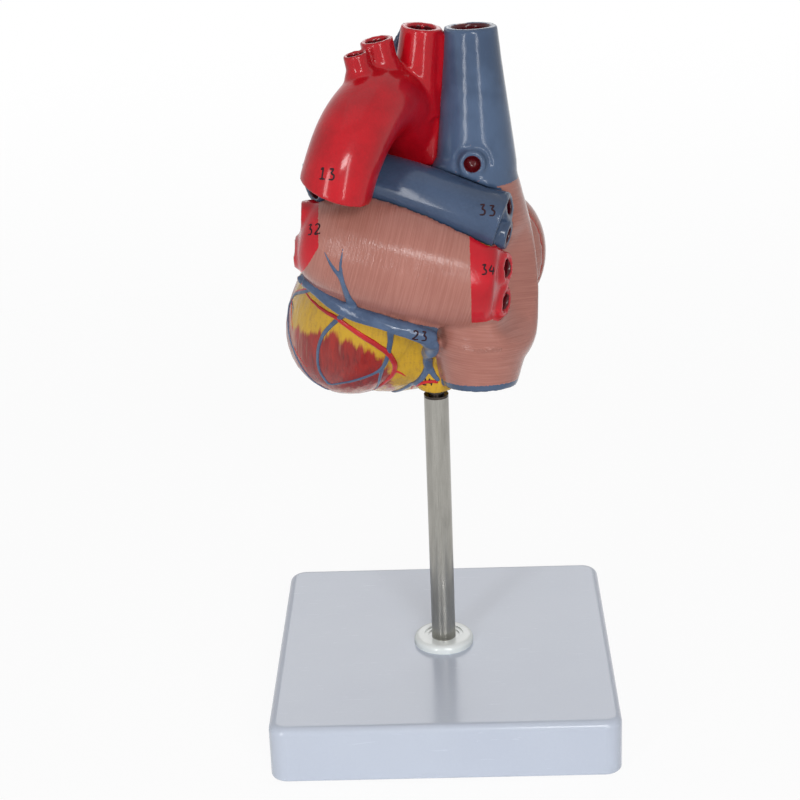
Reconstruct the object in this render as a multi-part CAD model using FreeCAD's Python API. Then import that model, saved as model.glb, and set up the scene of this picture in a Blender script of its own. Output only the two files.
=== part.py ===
"""Life-size teaching model of the human heart on a display stand.

The heart stands on a post, seen from its back when looked at along +Y. Its front wall lifts
off to show four chambers and four valves. Millimetres, +Z up, X across, +Y towards the front
of the heart. The origin is on the surface that the base stands on, under the post's axis.
"""
import FreeCAD
import Part

import math
import os

from FreeCAD import Placement, Rotation, Vector

# ---- stand: sizes --------------------------------------------------------------------------
BASE_SIDE = 140.0
BASE_HEIGHT = 24.0
BASE_WALL = 2.6
BASE_CORNER_R = 7.0
BASE_EDGE_R = 3.2
BASE_RIM_R = 1.2
RIB_THICKNESS = 2.0
RIB_SETBACK = 4.0
BOSS_WALL = 2.5
BOSS_WEB = 3.0

FOOT_R = 5.5
FOOT_HEIGHT = 3.0
FOOT_STANDOUT = 1.0
FOOT_INSET = 15.0
FOOT_PILLAR_WALL = 2.0

COLLAR_R = 12.5
COLLAR_HEIGHT = 3.4
COLLAR_RIM_R = 2.2
COLLAR_HUB_R = 8.0
COLLAR_HUB_DEPTH = 13.0
COLLAR_FLOOR = 3.0
COLLAR_STEPS_R = (8.2, 6.6)
COLLAR_STEP_DROP = 0.5

TUBE_R = 5.0
TUBE_WALL = 0.9
POST_RISE = 112.0

PLUG_LENGTH = 14.0
SCREW_R = 2.5
SCREW_HEAD_R = 4.8
SCREW_HEAD_HEIGHT = 3.0
SCREW_SLOT_WIDTH = 1.2
SCREW_SLOT_DEPTH = 1.5
SCREW_GRIP = 10.0
SCREW_HEAD_ROOM = 1.5
WASHER_R = 7.5
WASHER_HEIGHT = 1.2

PIN_R = 3.25
PIN_RISE = 30.0
PIN_TAIL = 16.0
PIN_FLANGE_HEIGHT = 1.0
PIN_POINT = 0.6

SOCKET_WALL = 1.6
SOCKET_CAP = 2.0
SOCKET_MOUTH_Z = 4.0
SOCKET_BOSS_WALL = 3.2
SOCKET_BOSS_HEIGHT = 24.0

# ---- clearances ----------------------------------------------------------------------------
RUNNING_FIT = 0.05
GLUED_FIT = 0.05
HOLE_PLAY = 0.3
GLUE_GAP = 0.25
PARTING_GAP = 0.2

# ---- heart: places are measured from the post's top ----------------------------------------
LEFT_VENTRICLE_BASE = Vector(0, -6, 74)
LEFT_VENTRICLE_APEX = Vector(-46.5, 32, 3.5)
LEFT_VENTRICLE_R = 31.5
LEFT_VENTRICLE_WALL = 9.5

RIGHT_VENTRICLE_BASE = Vector(22, 4, 54)
RIGHT_VENTRICLE_APEX = Vector(-40, 42, 9)
RIGHT_VENTRICLE_R = 34.0
RIGHT_VENTRICLE_WALL = 4.5

CONUS_FOOT = Vector(-14, 28, 44)
CONUS_FOOT_R = 20.0
CONUS_TOP = Vector(-21, 37, 71)
CONUS_TOP_R = 14.5

LEFT_ATRIUM_LEFT = Vector(-50, -14, 74.5)
LEFT_ATRIUM_RIGHT = Vector(34, -16, 51.5)
LEFT_ATRIUM_R = 23.5

RIGHT_ATRIUM_TOP = Vector(16, 2, 102)
RIGHT_ATRIUM_FOOT = Vector(20, -7, 15)
RIGHT_ATRIUM_R = 23.0
RIGHT_AURICLE_CENTRE = Vector(26, 24, 53)
RIGHT_AURICLE_HALF = Vector(20, 18, 26)
ATRIUM_WALL = 3.4

LOWER_CAVA_FOOT = Vector(17.6, -9, 2)
LOWER_CAVA_FOOT_R = 13.0
LOWER_CAVA_TOP = Vector(18.5, -8, 28)
LOWER_CAVA_TOP_R = 19.5
LOWER_CAVA_BORE_R = 9.0
LOWER_CAVA_CUT_Z = 7.5
LOWER_CAVA_CUT_TILT = 8.0

UPPER_CAVA_TOP = Vector(17.3, 4, 148.5)
UPPER_CAVA_TOP_R = 9.8
UPPER_CAVA_FOOT = Vector(18.6, 1, 80)
UPPER_CAVA_FOOT_R = 16.0
UPPER_CAVA_BORE_R = 6.1
UPPER_CAVA_BORE_SHIFT = 3.0

# stubs of veins and arteries: foot, foot radius, top, top radius, bore radius
AZYGOS_VEIN = (Vector(17, -4, 99), 7.5, Vector(16.5, -14.5, 99.4), 5.0, 2.8)
LEFT_PULMONARY_VEINS = (
    (Vector(-37, -14, 80), 9.0, Vector(-49.6, -14.5, 81), 6.0, 4.2),
    (Vector(-38, -14, 66), 9.5, Vector(-53.0, -14.5, 67), 6.2, 4.2),
)
RIGHT_PULMONARY_VEINS = (
    (Vector(16, -18, 60.0), 9.5, Vector(30.4, -22.6, 60.6), 6.6, 4.0),
    (Vector(15, -18, 47.5), 9.5, Vector(29.6, -22.6, 46.5), 6.6, 4.0),
)
SUBCLAVIAN_ARTERY = (Vector(-21.5, -13, 120), 6.0, Vector(-25.9, -14, 143), 4.1, 3.1)
CAROTID_ARTERY = (Vector(-14, -5, 120), 7.4, Vector(-18.2, -6, 146.4), 5.4, 3.7)
BRACHIOCEPHALIC_TRUNK = (Vector(-5, 5, 116), 10.0, Vector(-1.2, 4, 148.8), 7.75, 4.8)
RIGHT_PULMONARY_STUBS = (
    (Vector(20, -17, 83), 8.0, Vector(30.3, -20.3, 84.0), 5.6, 3.0),
    (Vector(20, -18, 75), 8.0, Vector(29.8, -20.9, 72.8), 5.4, 3.0),
)
AORTIC_BRANCHES = (SUBCLAVIAN_ARTERY, CAROTID_ARTERY, BRACHIOCEPHALIC_TRUNK)
STUB_BORE_DEPTH = 6.0

BRACHIOCEPHALIC_VEIN_PATH = (
    Vector(17, 6, 114),
    Vector(12, 17, 122),
    Vector(2, 22, 132),
    Vector(-11.5, 24, 141.5),
)
BRACHIOCEPHALIC_VEIN_RADII = (7.0, 6.6, 6.4, 6.2)
BRACHIOCEPHALIC_VEIN_ACROSS = Vector(0.5, -0.3, 0.75)
BRACHIOCEPHALIC_VEIN_BORE_R = 4.0

CORONARY_SINUS_PATH = (
    Vector(-52.0, -12, 56),
    Vector(-41.0, -21.5, 50),
    Vector(-27.0, -26.5, 44),
    Vector(-12.7, -28.0, 38.5),
    Vector(0.5, -24.5, 33.8),
)
CORONARY_SINUS_RADII = (2.0, 2.6, 3.0, 3.2, 3.4)

# ---- openings inside the heart -------------------------------------------------------------
MITRAL_CENTRE = Vector(-16, 0, 50)
MITRAL_AXIS = Vector(-0.42, 0.6, -0.68)
MITRAL_R = 10.0
TRICUSPID_CENTRE = Vector(14, 14, 28)
TRICUSPID_AXIS = Vector(-0.35, 0.7, -0.62)
TRICUSPID_R = 9.5
ORIFICE_REACH = 11.0
OUTFLOW_FOOT = Vector(-10, 14, 51)
OUTFLOW_R = 9.6
OUTFLOW_RISE = 5.0
SPACE_WALL = 2.6

VALVE_WALL = 1.0
VALVE_RING_HEIGHT = 3.0
MITRAL_LEAFLETS = 2
MITRAL_LEAFLET_LENGTH = 9.0
TRICUSPID_LEAFLETS = 3
TRICUSPID_LEAFLET_LENGTH = 6.0
LEAFLET_NARROWING = 3.0
LEAFLET_SLOT = 1.4
CUSPS = 3
CUSP_WALL = 0.8
CUSP_RING_HEIGHT = 4.0
CUSP_RING_GAP = 0.45
CUSP_RING_LIFT = 0.6

LEFT_PAPILLARIES = (
    (Vector(-50, 12, 20), 7.0, Vector(-31, 8, 31), 2.6),
    (Vector(-26, 2, 8), 7.0, Vector(-23, 6, 28), 2.6),
)
RIGHT_PAPILLARIES = (
    (Vector(4, 14, 1), 5.0, Vector(6, 15.5, 13.0), 2.0),
    (Vector(17, 12, 4), 5.0, Vector(14, 15.5, 15.0), 2.0),
)
CHORDAE_PER_MUSCLE = 3
CHORDA_R = 0.45
CHORDA_GAP = 0.6
CHORDA_SPREAD = 1.2
CHORDA_FAN = 30.0

# ---- front wall and its magnets ------------------------------------------------------------
PARTING_Y = 18.0
PARTING_TOP_Z = 62.5
AURICLE_PARTING_X = 12.0
AURICLE_PARTING_Z = 79.0
MAGNET_R = 3.0
MAGNET_HEIGHT = 2.5
MAGNET_PLACES = ((-41.0, 57.0), (7.0, 42.1), (-24.4, 2.0), (-55.6, 22.0))

AORTA_PATH = (
    Vector(-3, 17, 69),
    Vector(-7, 15, 92),
    Vector(-8, 9, 109),
    Vector(-15, -5, 122),
    Vector(-25, -23, 118),
    Vector(-31, -32, 107),
    Vector(-34, -34, 97),
)
AORTA_RADII = (12.5, 13.0, 13.6, 14.2, 14.2, 14.0, 13.8)
AORTA_ACROSS = Vector(0.88, -0.47, 0)
AORTA_CUT_PLACE = Vector(-33.5, -34, 96.6)
AORTA_CUT_AXIS = Vector(0.36, -0.10, 0.93)
AORTA_TRIM = 8.0

TRUNK_PATH = (
    Vector(-21, 38, 69),
    Vector(-27, 33, 80),
    Vector(-30, 19, 89),
    Vector(-27, 3, 93),
    Vector(-19, -8, 92),
)
TRUNK_RADII = (11.5, 11.5, 11.2, 11.0, 11.0)
TRUNK_ACROSS = Vector(1, 0.2, 0)

RIGHT_PULMONARY_PATH = (
    Vector(-19, -8, 92),
    Vector(-4, -13, 88.5),
    Vector(10, -17, 84),
    Vector(27, -21, 78),
)
RIGHT_PULMONARY_RADII = (11.0, 11.0, 10.8, 10.4)
LEFT_PULMONARY_PATH = (
    Vector(-19, -8, 92),
    Vector(-33, -8, 94),
    Vector(-45, -12, 93.5),
)
LEFT_PULMONARY_RADII = (10.8, 9.2, 8.8)
PULMONARY_ACROSS = Vector(0, 0, 1)
GREAT_VESSEL_WALL = 2.4

# ---- levels --------------------------------------------------------------------------------
BASE_TOP = FOOT_STANDOUT + BASE_HEIGHT
POST_TOP = BASE_TOP + POST_RISE
HUB_BOTTOM = BASE_TOP - COLLAR_HUB_DEPTH
TUBE_BOTTOM = HUB_BOTTOM + COLLAR_FLOOR
WEB_BOTTOM = HUB_BOTTOM - BOSS_WEB
HEAD_TOP = WEB_BOTTOM - WASHER_HEIGHT
BOSS_R = COLLAR_HUB_R + GLUED_FIT + BOSS_WALL
TUBE_BORE_R = TUBE_R - TUBE_WALL
SOCKET_BORE_R = PIN_R + RUNNING_FIT
SOCKET_R = SOCKET_BORE_R + SOCKET_WALL
SOCKET_FLOOR_Z = PIN_RISE + RUNNING_FIT
SOCKET_TOP_Z = SOCKET_FLOOR_Z + SOCKET_CAP
SOCKET_BOSS_R = SOCKET_R + GLUED_FIT + SOCKET_BOSS_WALL


def unit(v):
    """v scaled to length one."""
    return v * (1.0 / v.Length)


def disc(radius, low, high):
    """Upright cylinder on the post's axis between two levels."""
    return Part.makeCylinder(radius, high - low, Vector(0, 0, low))


def block(width, depth, low, high):
    """Upright box centred on the post's axis between two levels."""
    return Part.makeBox(width, depth, high - low, Vector(-width / 2, -depth / 2, low))


def edges_at(shape, chosen):
    """Edges whose middle point passes the test chosen."""
    found = []
    for edge in shape.Edges:
        middle = edge.valueAt((edge.FirstParameter + edge.LastParameter) / 2)
        if chosen(middle, edge):
            found.append(edge)
    return found


def egg(tail, tip, radius, skew=0.0, full=0.5, grow=0.0):
    """Round closed body from tail to tip, blunt for a small full, fatter near its tail by skew."""
    along = unit(tip - tail)
    length = (tip - tail).Length + 2 * grow
    points = []
    for i in range(1, 10):
        turn = math.pi * i / 10
        reach = (radius + grow) * math.sin(turn) ** full * (1 + skew * math.cos(turn))
        points.append(Vector(reach, 0, length * (1 - math.cos(turn)) / 2))
    points = [Vector(0, 0, 0)] + points + [Vector(0, 0, length)]
    curve = Part.BSplineCurve()
    curve.interpolate(Points=points, InitialTangent=Vector(1, 0, 0),
                      FinalTangent=Vector(-1, 0, 0), Scale=False)
    outline = Part.Wire([curve.toShape(), Part.makeLine(points[-1], points[0])])
    solid = Part.Face(outline).revolve(Vector(0, 0, 0), Vector(0, 0, 1), 360)
    solid.Placement = Placement(tail - along * grow, Rotation(Vector(0, 0, 1), along))
    return solid


def ellipsoid(centre, half, grow=0.0):
    """Ellipsoid with its half axes along X, Y and Z."""
    stretch = FreeCAD.Matrix()
    stretch.scale(half + Vector(grow, grow, grow))
    stretch.move(centre)
    return Part.makeSphere(1.0).transformGeometry(stretch)


def cone(foot, foot_r, top, top_r, grow=0.0):
    """Round cone or cylinder between two points."""
    along = unit(top - foot)
    foot = foot - along * grow
    top = top + along * grow
    if abs(foot_r - top_r) < 1e-9:
        return Part.makeCylinder(foot_r + grow, (top - foot).Length, foot, along)
    return Part.makeCone(foot_r + grow, top_r + grow, (top - foot).Length, foot, along)


def smooth_path(path):
    """Smooth curve through the points of a path."""
    curve = Part.BSplineCurve()
    curve.interpolate(Points=path)
    return curve


def vessel(path, radii, across, grow=0.0, start=0.0, end=0.0, stations=12):
    """Round tube lofted along a smooth path, longer by start and end at its two ends.

    across is a direction that the path keeps clear of, and grow is added to each radius.
    """
    path = list(path)
    path[0] = path[0] + unit(path[0] - path[1]) * start
    path[-1] = path[-1] + unit(path[-1] - path[-2]) * end
    curve = smooth_path(path)
    at = [curve.parameter(p) for p in path]
    rings = []
    for i in range(stations):
        u = at[0] + (at[-1] - at[0]) * i / (stations - 1)
        k = max(j for j in range(len(at) - 1) if at[j] <= u + 1e-9)
        share = (u - at[k]) / (at[k + 1] - at[k])
        radius = radii[k] + (radii[k + 1] - radii[k]) * share + grow
        along = curve.tangent(u)[0]
        ring = Part.Circle(curve.value(u), along, radius)
        ring.XAxis = unit(across.cross(along))
        rings.append(Part.Wire([ring.toShape()]))
    return Part.makeLoft(rings, True, False)


# ---- stand ---------------------------------------------------------------------------------
def foot_places():
    reach = BASE_SIDE / 2 - FOOT_INSET
    return [Vector(x, y, 0) for x in (-reach, reach) for y in (-reach, reach)]


def make_base_plate():
    """Square moulded tray, open below, with ribs, a boss for the post and four foot pillars."""
    shell = block(BASE_SIDE, BASE_SIDE, FOOT_STANDOUT, BASE_TOP)
    upright = edges_at(shell, lambda m, e: abs(m.x) > 1 and abs(m.y) > 1)
    shell = shell.makeFillet(BASE_CORNER_R, upright)
    shell = shell.makeFillet(BASE_EDGE_R, edges_at(shell, lambda m, e: abs(m.z - BASE_TOP) < 1e-6))
    rim = edges_at(shell, lambda m, e: abs(m.z - FOOT_STANDOUT) < 1e-6)
    shell = shell.makeFillet(BASE_RIM_R, rim)
    under = BASE_TOP - BASE_WALL
    inside = BASE_SIDE - 2 * BASE_WALL
    hollow = block(inside, inside, FOOT_STANDOUT - 1, under)
    upright = edges_at(hollow, lambda m, e: abs(m.x) > 1 and abs(m.y) > 1)
    hollow = hollow.makeFillet(max(BASE_CORNER_R - BASE_WALL, 0.5), upright)
    rib_low = FOOT_STANDOUT + RIB_SETBACK
    rib_reach = inside + BASE_WALL
    added = [
        block(rib_reach, RIB_THICKNESS, rib_low, under + BASE_WALL / 2),
        block(RIB_THICKNESS, rib_reach, rib_low, under + BASE_WALL / 2),
        disc(BOSS_R, WEB_BOTTOM, under + BASE_WALL / 2),
    ]
    removed = [
        disc(COLLAR_HUB_R + GLUED_FIT, HUB_BOTTOM, BASE_TOP + 1),
        disc(SCREW_R + HOLE_PLAY, WEB_BOTTOM - 1, HUB_BOTTOM + 1),
        disc(WASHER_R + SCREW_HEAD_ROOM, 0, WEB_BOTTOM),
    ]
    pillar_low = FOOT_STANDOUT + HOLE_PLAY
    for place in foot_places():
        pillar = disc(FOOT_R + GLUED_FIT + FOOT_PILLAR_WALL, pillar_low, under + BASE_WALL / 2)
        recess = disc(FOOT_R + GLUED_FIT, pillar_low - 1, FOOT_HEIGHT)
        added.append(pillar.translated(place))
        removed.append(recess.translated(place))
    return shell.cut(hollow).fuse(added).cut(removed)


def make_rubber_feet():
    return Part.makeCompound([disc(FOOT_R, 0, FOOT_HEIGHT).translated(p) for p in foot_places()])


def make_post_collar():
    """Domed flange with two shallow steps round the tube, and the hub that holds the tube."""
    top = BASE_TOP + COLLAR_HEIGHT
    shoulder = COLLAR_R - COLLAR_RIM_R
    bore = TUBE_R + GLUED_FIT
    outer_step, inner_step = COLLAR_STEPS_R
    slant = math.sqrt(0.5) * COLLAR_RIM_R
    rim = Part.Arc(Vector(COLLAR_R, 0, top - COLLAR_RIM_R),
                   Vector(shoulder + slant, 0, top - COLLAR_RIM_R + slant),
                   Vector(shoulder, 0, top)).toShape()
    corners = [
        Vector(shoulder, 0, top),
        Vector(outer_step, 0, top),
        Vector(outer_step, 0, top - COLLAR_STEP_DROP),
        Vector(inner_step, 0, top - COLLAR_STEP_DROP),
        Vector(inner_step, 0, top - 2 * COLLAR_STEP_DROP),
        Vector(bore, 0, top - 2 * COLLAR_STEP_DROP),
        Vector(bore, 0, TUBE_BOTTOM),
        Vector(SCREW_R + HOLE_PLAY, 0, TUBE_BOTTOM),
        Vector(SCREW_R + HOLE_PLAY, 0, HUB_BOTTOM),
        Vector(COLLAR_HUB_R, 0, HUB_BOTTOM),
        Vector(COLLAR_HUB_R, 0, BASE_TOP),
        Vector(COLLAR_R, 0, BASE_TOP),
        Vector(COLLAR_R, 0, top - COLLAR_RIM_R),
    ]
    outline = Part.Wire([rim] + [Part.makeLine(a, b) for a, b in zip(corners, corners[1:])])
    return Part.Face(outline).revolve(Vector(0, 0, 0), Vector(0, 0, 1), 360)


def make_post_tube():
    return disc(TUBE_R, TUBE_BOTTOM, POST_TOP).cut(disc(TUBE_BORE_R, TUBE_BOTTOM, POST_TOP))


def make_tube_plug():
    high = TUBE_BOTTOM + PLUG_LENGTH
    plug = disc(TUBE_BORE_R - GLUED_FIT, TUBE_BOTTOM, high)
    return plug.cut(disc(SCREW_R + GLUED_FIT, TUBE_BOTTOM, high))


def make_clamp_washer():
    return disc(WASHER_R, HEAD_TOP, WEB_BOTTOM).cut(disc(SCREW_R + HOLE_PLAY, HEAD_TOP, WEB_BOTTOM))


def make_clamp_screw():
    head_low = HEAD_TOP - SCREW_HEAD_HEIGHT
    shank = disc(SCREW_R, HEAD_TOP, TUBE_BOTTOM + SCREW_GRIP)
    slot = block(4 * SCREW_HEAD_R, SCREW_SLOT_WIDTH, head_low - 1, head_low + SCREW_SLOT_DEPTH)
    return disc(SCREW_HEAD_R, head_low, HEAD_TOP).fuse(shank).cut(slot)


def make_spigot_pin():
    """Pin that turns in the tube's mouth on its flange, and that the heart drops onto."""
    pin = disc(TUBE_BORE_R - RUNNING_FIT, -PIN_TAIL, 0).fuse([
        disc(TUBE_R, 0, PIN_FLANGE_HEIGHT),
        disc(PIN_R, 0, PIN_RISE),
    ])
    tips = edges_at(pin, lambda m, e: min(abs(m.z - PIN_RISE), abs(m.z + PIN_TAIL)) < 1e-6)
    return pin.makeChamfer(PIN_POINT, tips)


# ---- outer forms of the heart --------------------------------------------------------------
def left_ventricle(grow=0.0):
    return egg(LEFT_VENTRICLE_BASE, LEFT_VENTRICLE_APEX, LEFT_VENTRICLE_R, 0.08, 0.55, grow)


def right_ventricle(grow=0.0):
    return egg(RIGHT_VENTRICLE_BASE, RIGHT_VENTRICLE_APEX, RIGHT_VENTRICLE_R, 0.08, 0.55, grow)


def left_atrium(grow=0.0):
    return egg(LEFT_ATRIUM_LEFT, LEFT_ATRIUM_RIGHT, LEFT_ATRIUM_R, 0.0, 0.5, grow)


def right_atrium(grow=0.0):
    return egg(RIGHT_ATRIUM_TOP, RIGHT_ATRIUM_FOOT, RIGHT_ATRIUM_R, -0.14, 0.5, grow)


def right_auricle(grow=0.0):
    return ellipsoid(RIGHT_AURICLE_CENTRE, RIGHT_AURICLE_HALF, grow)


def conus(grow=0.0):
    return cone(CONUS_FOOT, CONUS_FOOT_R, CONUS_TOP, CONUS_TOP_R, grow)


def lower_cava():
    """Stump of the lower vena cava, its end cut off at a slant."""
    stump = cone(LOWER_CAVA_FOOT, LOWER_CAVA_FOOT_R, LOWER_CAVA_TOP, LOWER_CAVA_TOP_R)
    reach = LOWER_CAVA_TOP_R + 4
    below = Part.makeBox(2 * reach, 2 * reach, 2 * reach, Vector(-reach, -reach, -2 * reach))
    below.Placement = Placement(Vector(LOWER_CAVA_FOOT.x, LOWER_CAVA_FOOT.y, LOWER_CAVA_CUT_Z),
                                Rotation(Vector(1, 0, 0), -LOWER_CAVA_CUT_TILT))
    return stump.cut(below)


def upper_cava():
    return cone(UPPER_CAVA_FOOT, UPPER_CAVA_FOOT_R, UPPER_CAVA_TOP, UPPER_CAVA_TOP_R)


def brachiocephalic_vein():
    return vessel(BRACHIOCEPHALIC_VEIN_PATH, BRACHIOCEPHALIC_VEIN_RADII,
                  BRACHIOCEPHALIC_VEIN_ACROSS)


def brachiocephalic_vein_bore():
    along = unit(BRACHIOCEPHALIC_VEIN_PATH[-1] - BRACHIOCEPHALIC_VEIN_PATH[-2])
    mouth = BRACHIOCEPHALIC_VEIN_PATH[-1]
    return cone(mouth - along * STUB_BORE_DEPTH, BRACHIOCEPHALIC_VEIN_BORE_R,
                mouth + along, BRACHIOCEPHALIC_VEIN_BORE_R)


def coronary_sinus():
    return vessel(CORONARY_SINUS_PATH, CORONARY_SINUS_RADII, Vector(0, 0, 1))


def socket_boss(low, high):
    return Part.makeCylinder(SOCKET_BOSS_R, high - low, Vector(0, 0, low))


def stub(places, grow=0.0):
    foot, foot_r, top, top_r, bore_r = places
    return cone(foot, foot_r, top, top_r, grow)


def stub_bore(places):
    """Blind bore that opens at a stub's top."""
    foot, foot_r, top, top_r, bore_r = places
    along = unit(top - foot)
    return cone(top - along * STUB_BORE_DEPTH, bore_r, top + along, bore_r)


def aorta_tube(grow=0.0, start=0.0, end=0.0):
    return vessel(AORTA_PATH, AORTA_RADII, AORTA_ACROSS, grow, start, end)


def trunk_tube(grow=0.0, start=0.0):
    return vessel(TRUNK_PATH, TRUNK_RADII, TRUNK_ACROSS, grow, start)


def right_pulmonary_tube(grow=0.0, end=0.0):
    return vessel(RIGHT_PULMONARY_PATH, RIGHT_PULMONARY_RADII, PULMONARY_ACROSS, grow, 0, end)


def left_pulmonary_tube(grow=0.0, end=0.0):
    return vessel(LEFT_PULMONARY_PATH, LEFT_PULMONARY_RADII, PULMONARY_ACROSS, grow, 0, end)


def aortic_trim():
    """Block that cuts the descending end off at a slant."""
    reach = 3 * AORTA_RADII[-1]
    below = Part.makeBox(2 * reach, 2 * reach, 3 * AORTA_TRIM,
                         Vector(-reach, -reach, -3 * AORTA_TRIM))
    below.Placement = Placement(AORTA_CUT_PLACE, Rotation(Vector(0, 0, 1), AORTA_CUT_AXIS))
    return below


def aorta_form(grow=0.0):
    """Aorta with its branches, without their bores."""
    return aorta_tube(grow, grow, grow).fuse([stub(b, grow) for b in AORTIC_BRANCHES])


def pulmonary_form(grow=0.0):
    """Pulmonary trunk and arteries, without their bores."""
    return trunk_tube(grow, grow).fuse([
        right_pulmonary_tube(grow, grow),
        left_pulmonary_tube(grow, grow),
    ] + [stub(s, grow) for s in RIGHT_PULMONARY_STUBS])


# ---- spaces inside the heart ---------------------------------------------------------------
def outflow(grow=0.0):
    """Way out of the left ventricle into the aorta."""
    top = AORTA_PATH[0] + Vector(0, 0, OUTFLOW_RISE)
    return cone(OUTFLOW_FOOT, OUTFLOW_R, top, OUTFLOW_R, grow)


def orifice(centre, axis, radius):
    reach = unit(axis) * ORIFICE_REACH
    return cone(centre - reach, radius, centre + reach, radius)


def make_chambers():
    """The four chambers, with the passages between them, as solids to cut away."""
    vessels = [aorta_tube(SPACE_WALL, SPACE_WALL), pulmonary_form(SPACE_WALL)]
    boss = socket_boss(-SOCKET_BOSS_HEIGHT, SOCKET_TOP_Z + SOCKET_BOSS_WALL)
    atria = [left_atrium(), right_atrium(), right_auricle()]
    caval_bores = [
        cone(LOWER_CAVA_FOOT, LOWER_CAVA_BORE_R, LOWER_CAVA_TOP, LOWER_CAVA_BORE_R, 4),
        cone(UPPER_CAVA_FOOT + Vector(0, UPPER_CAVA_BORE_SHIFT, 0), UPPER_CAVA_BORE_R + 2,
             UPPER_CAVA_TOP, UPPER_CAVA_BORE_R, 1),
    ]
    conus_bore_r = CONUS_TOP_R - RIGHT_VENTRICLE_WALL - 1.5
    conus_bore = cone(CONUS_TOP - Vector(0, 0, 6), conus_bore_r, CONUS_TOP, conus_bore_r, 2)
    right_atrial = [right_auricle(-ATRIUM_WALL)] + caval_bores
    right_flow = [conus(-RIGHT_VENTRICLE_WALL), conus_bore]
    return [
        left_atrium(-ATRIUM_WALL).cut(vessels + [boss]),
        right_atrium(-ATRIUM_WALL).fuse(right_atrial).cut(
            [left_atrium(), outflow(SPACE_WALL), boss] + vessels),
        left_ventricle(-LEFT_VENTRICLE_WALL).cut(atria[:2] + vessels + [boss]),
        right_ventricle(-RIGHT_VENTRICLE_WALL).fuse(right_flow).cut(
            atria + [left_ventricle(), lower_cava(), outflow(SPACE_WALL), boss, vessels[0]]),
        outflow(),
        orifice(MITRAL_CENTRE, MITRAL_AXIS, MITRAL_R),
        orifice(TRICUSPID_CENTRE, TRICUSPID_AXIS, TRICUSPID_R),
    ]


def make_heart():
    """Whole hollow heart, before its front wall is parted off."""
    veins = (AZYGOS_VEIN,) + LEFT_PULMONARY_VEINS + RIGHT_PULMONARY_VEINS
    outer = left_ventricle().fuse([
        right_ventricle(),
        left_atrium(),
        right_atrium(),
        right_auricle(),
        conus(),
        lower_cava(),
        upper_cava(),
        brachiocephalic_vein(),
        coronary_sinus(),
        socket_boss(SOCKET_MOUTH_Z, SOCKET_BOSS_HEIGHT),
    ] + [stub(v) for v in veins])
    removed = make_chambers()
    removed += [aorta_form(GLUE_GAP), pulmonary_form(GLUE_GAP)]
    removed += [stub_bore(v) for v in veins]
    removed += [
        brachiocephalic_vein_bore(),
        Part.makeCylinder(SOCKET_R + GLUED_FIT, SOCKET_BOSS_HEIGHT + SOCKET_TOP_Z + GLUED_FIT,
                          Vector(0, 0, -SOCKET_BOSS_HEIGHT)),
    ]
    return outer.cut(removed)


def front_region(gap):
    """Space in front of the parting faces, drawn back from them by gap."""
    reach = 4 * LEFT_VENTRICLE_R
    lower = Part.makeBox(2 * reach, reach, reach,
                         Vector(-reach, PARTING_Y + gap, PARTING_TOP_Z - gap - reach))
    auricle = Part.makeBox(reach, reach, reach,
                           Vector(AURICLE_PARTING_X + gap, PARTING_Y + gap,
                                  AURICLE_PARTING_Z - gap - reach))
    return lower.fuse(auricle)


def magnets(low_y, grow=0.0, deeper=0.0):
    """Round magnets, their axes along Y, with their rear faces at low_y."""
    discs = []
    for x, z in MAGNET_PLACES:
        discs.append(Part.makeCylinder(MAGNET_R + grow, MAGNET_HEIGHT + deeper,
                                       Vector(x, low_y, z), Vector(0, 1, 0)))
    return Part.makeCompound(discs)


def make_aorta():
    """Aorta from its root to its cut end, with its three branches."""
    bores = [stub_bore(b) for b in AORTIC_BRANCHES]
    outer = aorta_tube(0, 0, AORTA_TRIM).fuse([stub(b) for b in AORTIC_BRANCHES])
    lumen = aorta_tube(-GREAT_VESSEL_WALL, 1, AORTA_TRIM + 1)
    return outer.cut([lumen, aortic_trim()] + bores)


def make_pulmonary_arteries():
    """Trunk and its two arteries, the right one ending in two stubs."""
    lumen = trunk_tube(-GREAT_VESSEL_WALL, 1).fuse([
        right_pulmonary_tube(-GREAT_VESSEL_WALL, -STUB_BORE_DEPTH),
        left_pulmonary_tube(-GREAT_VESSEL_WALL, 1),
    ])
    bores = [stub_bore(s) for s in RIGHT_PULMONARY_STUBS]
    return pulmonary_form().cut([lumen, aorta_form(GLUE_GAP)] + bores)


# ---- valves --------------------------------------------------------------------------------
def placed(shape, origin, axis):
    """shape moved so that its own Z axis runs along axis from origin."""
    shape.Placement = Placement(origin, Rotation(Vector(0, 0, 1), axis))
    return shape


def leaflet_valve(centre, axis, radius, leaflets, length):
    """Ring with leaflets that hang from it as a slotted, narrowing skirt."""
    outer = radius - GLUED_FIT
    ring = disc(outer, -VALVE_RING_HEIGHT / 2, VALVE_RING_HEIGHT / 2)
    tip = VALVE_RING_HEIGHT / 2 + length
    skirt = Part.makeCone(outer, outer - LEAFLET_NARROWING, length,
                          Vector(0, 0, VALVE_RING_HEIGHT / 2))
    hole = disc(outer - VALVE_WALL, -VALVE_RING_HEIGHT / 2, VALVE_RING_HEIGHT / 2)
    throat = Part.makeCone(outer - VALVE_WALL, outer - VALVE_WALL - LEAFLET_NARROWING, length,
                           Vector(0, 0, VALVE_RING_HEIGHT / 2))
    valve = ring.fuse(skirt).cut([hole, throat])
    for i in range(leaflets):
        slot = Part.makeBox(radius, LEAFLET_SLOT, length,
                            Vector(0, -LEAFLET_SLOT / 2, VALVE_RING_HEIGHT / 2 + VALVE_WALL))
        slot.rotate(Vector(0, 0, 0), Vector(0, 0, 1), 360.0 * i / leaflets)
        valve = valve.cut(slot)
    return placed(valve, centre, axis)


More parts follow.
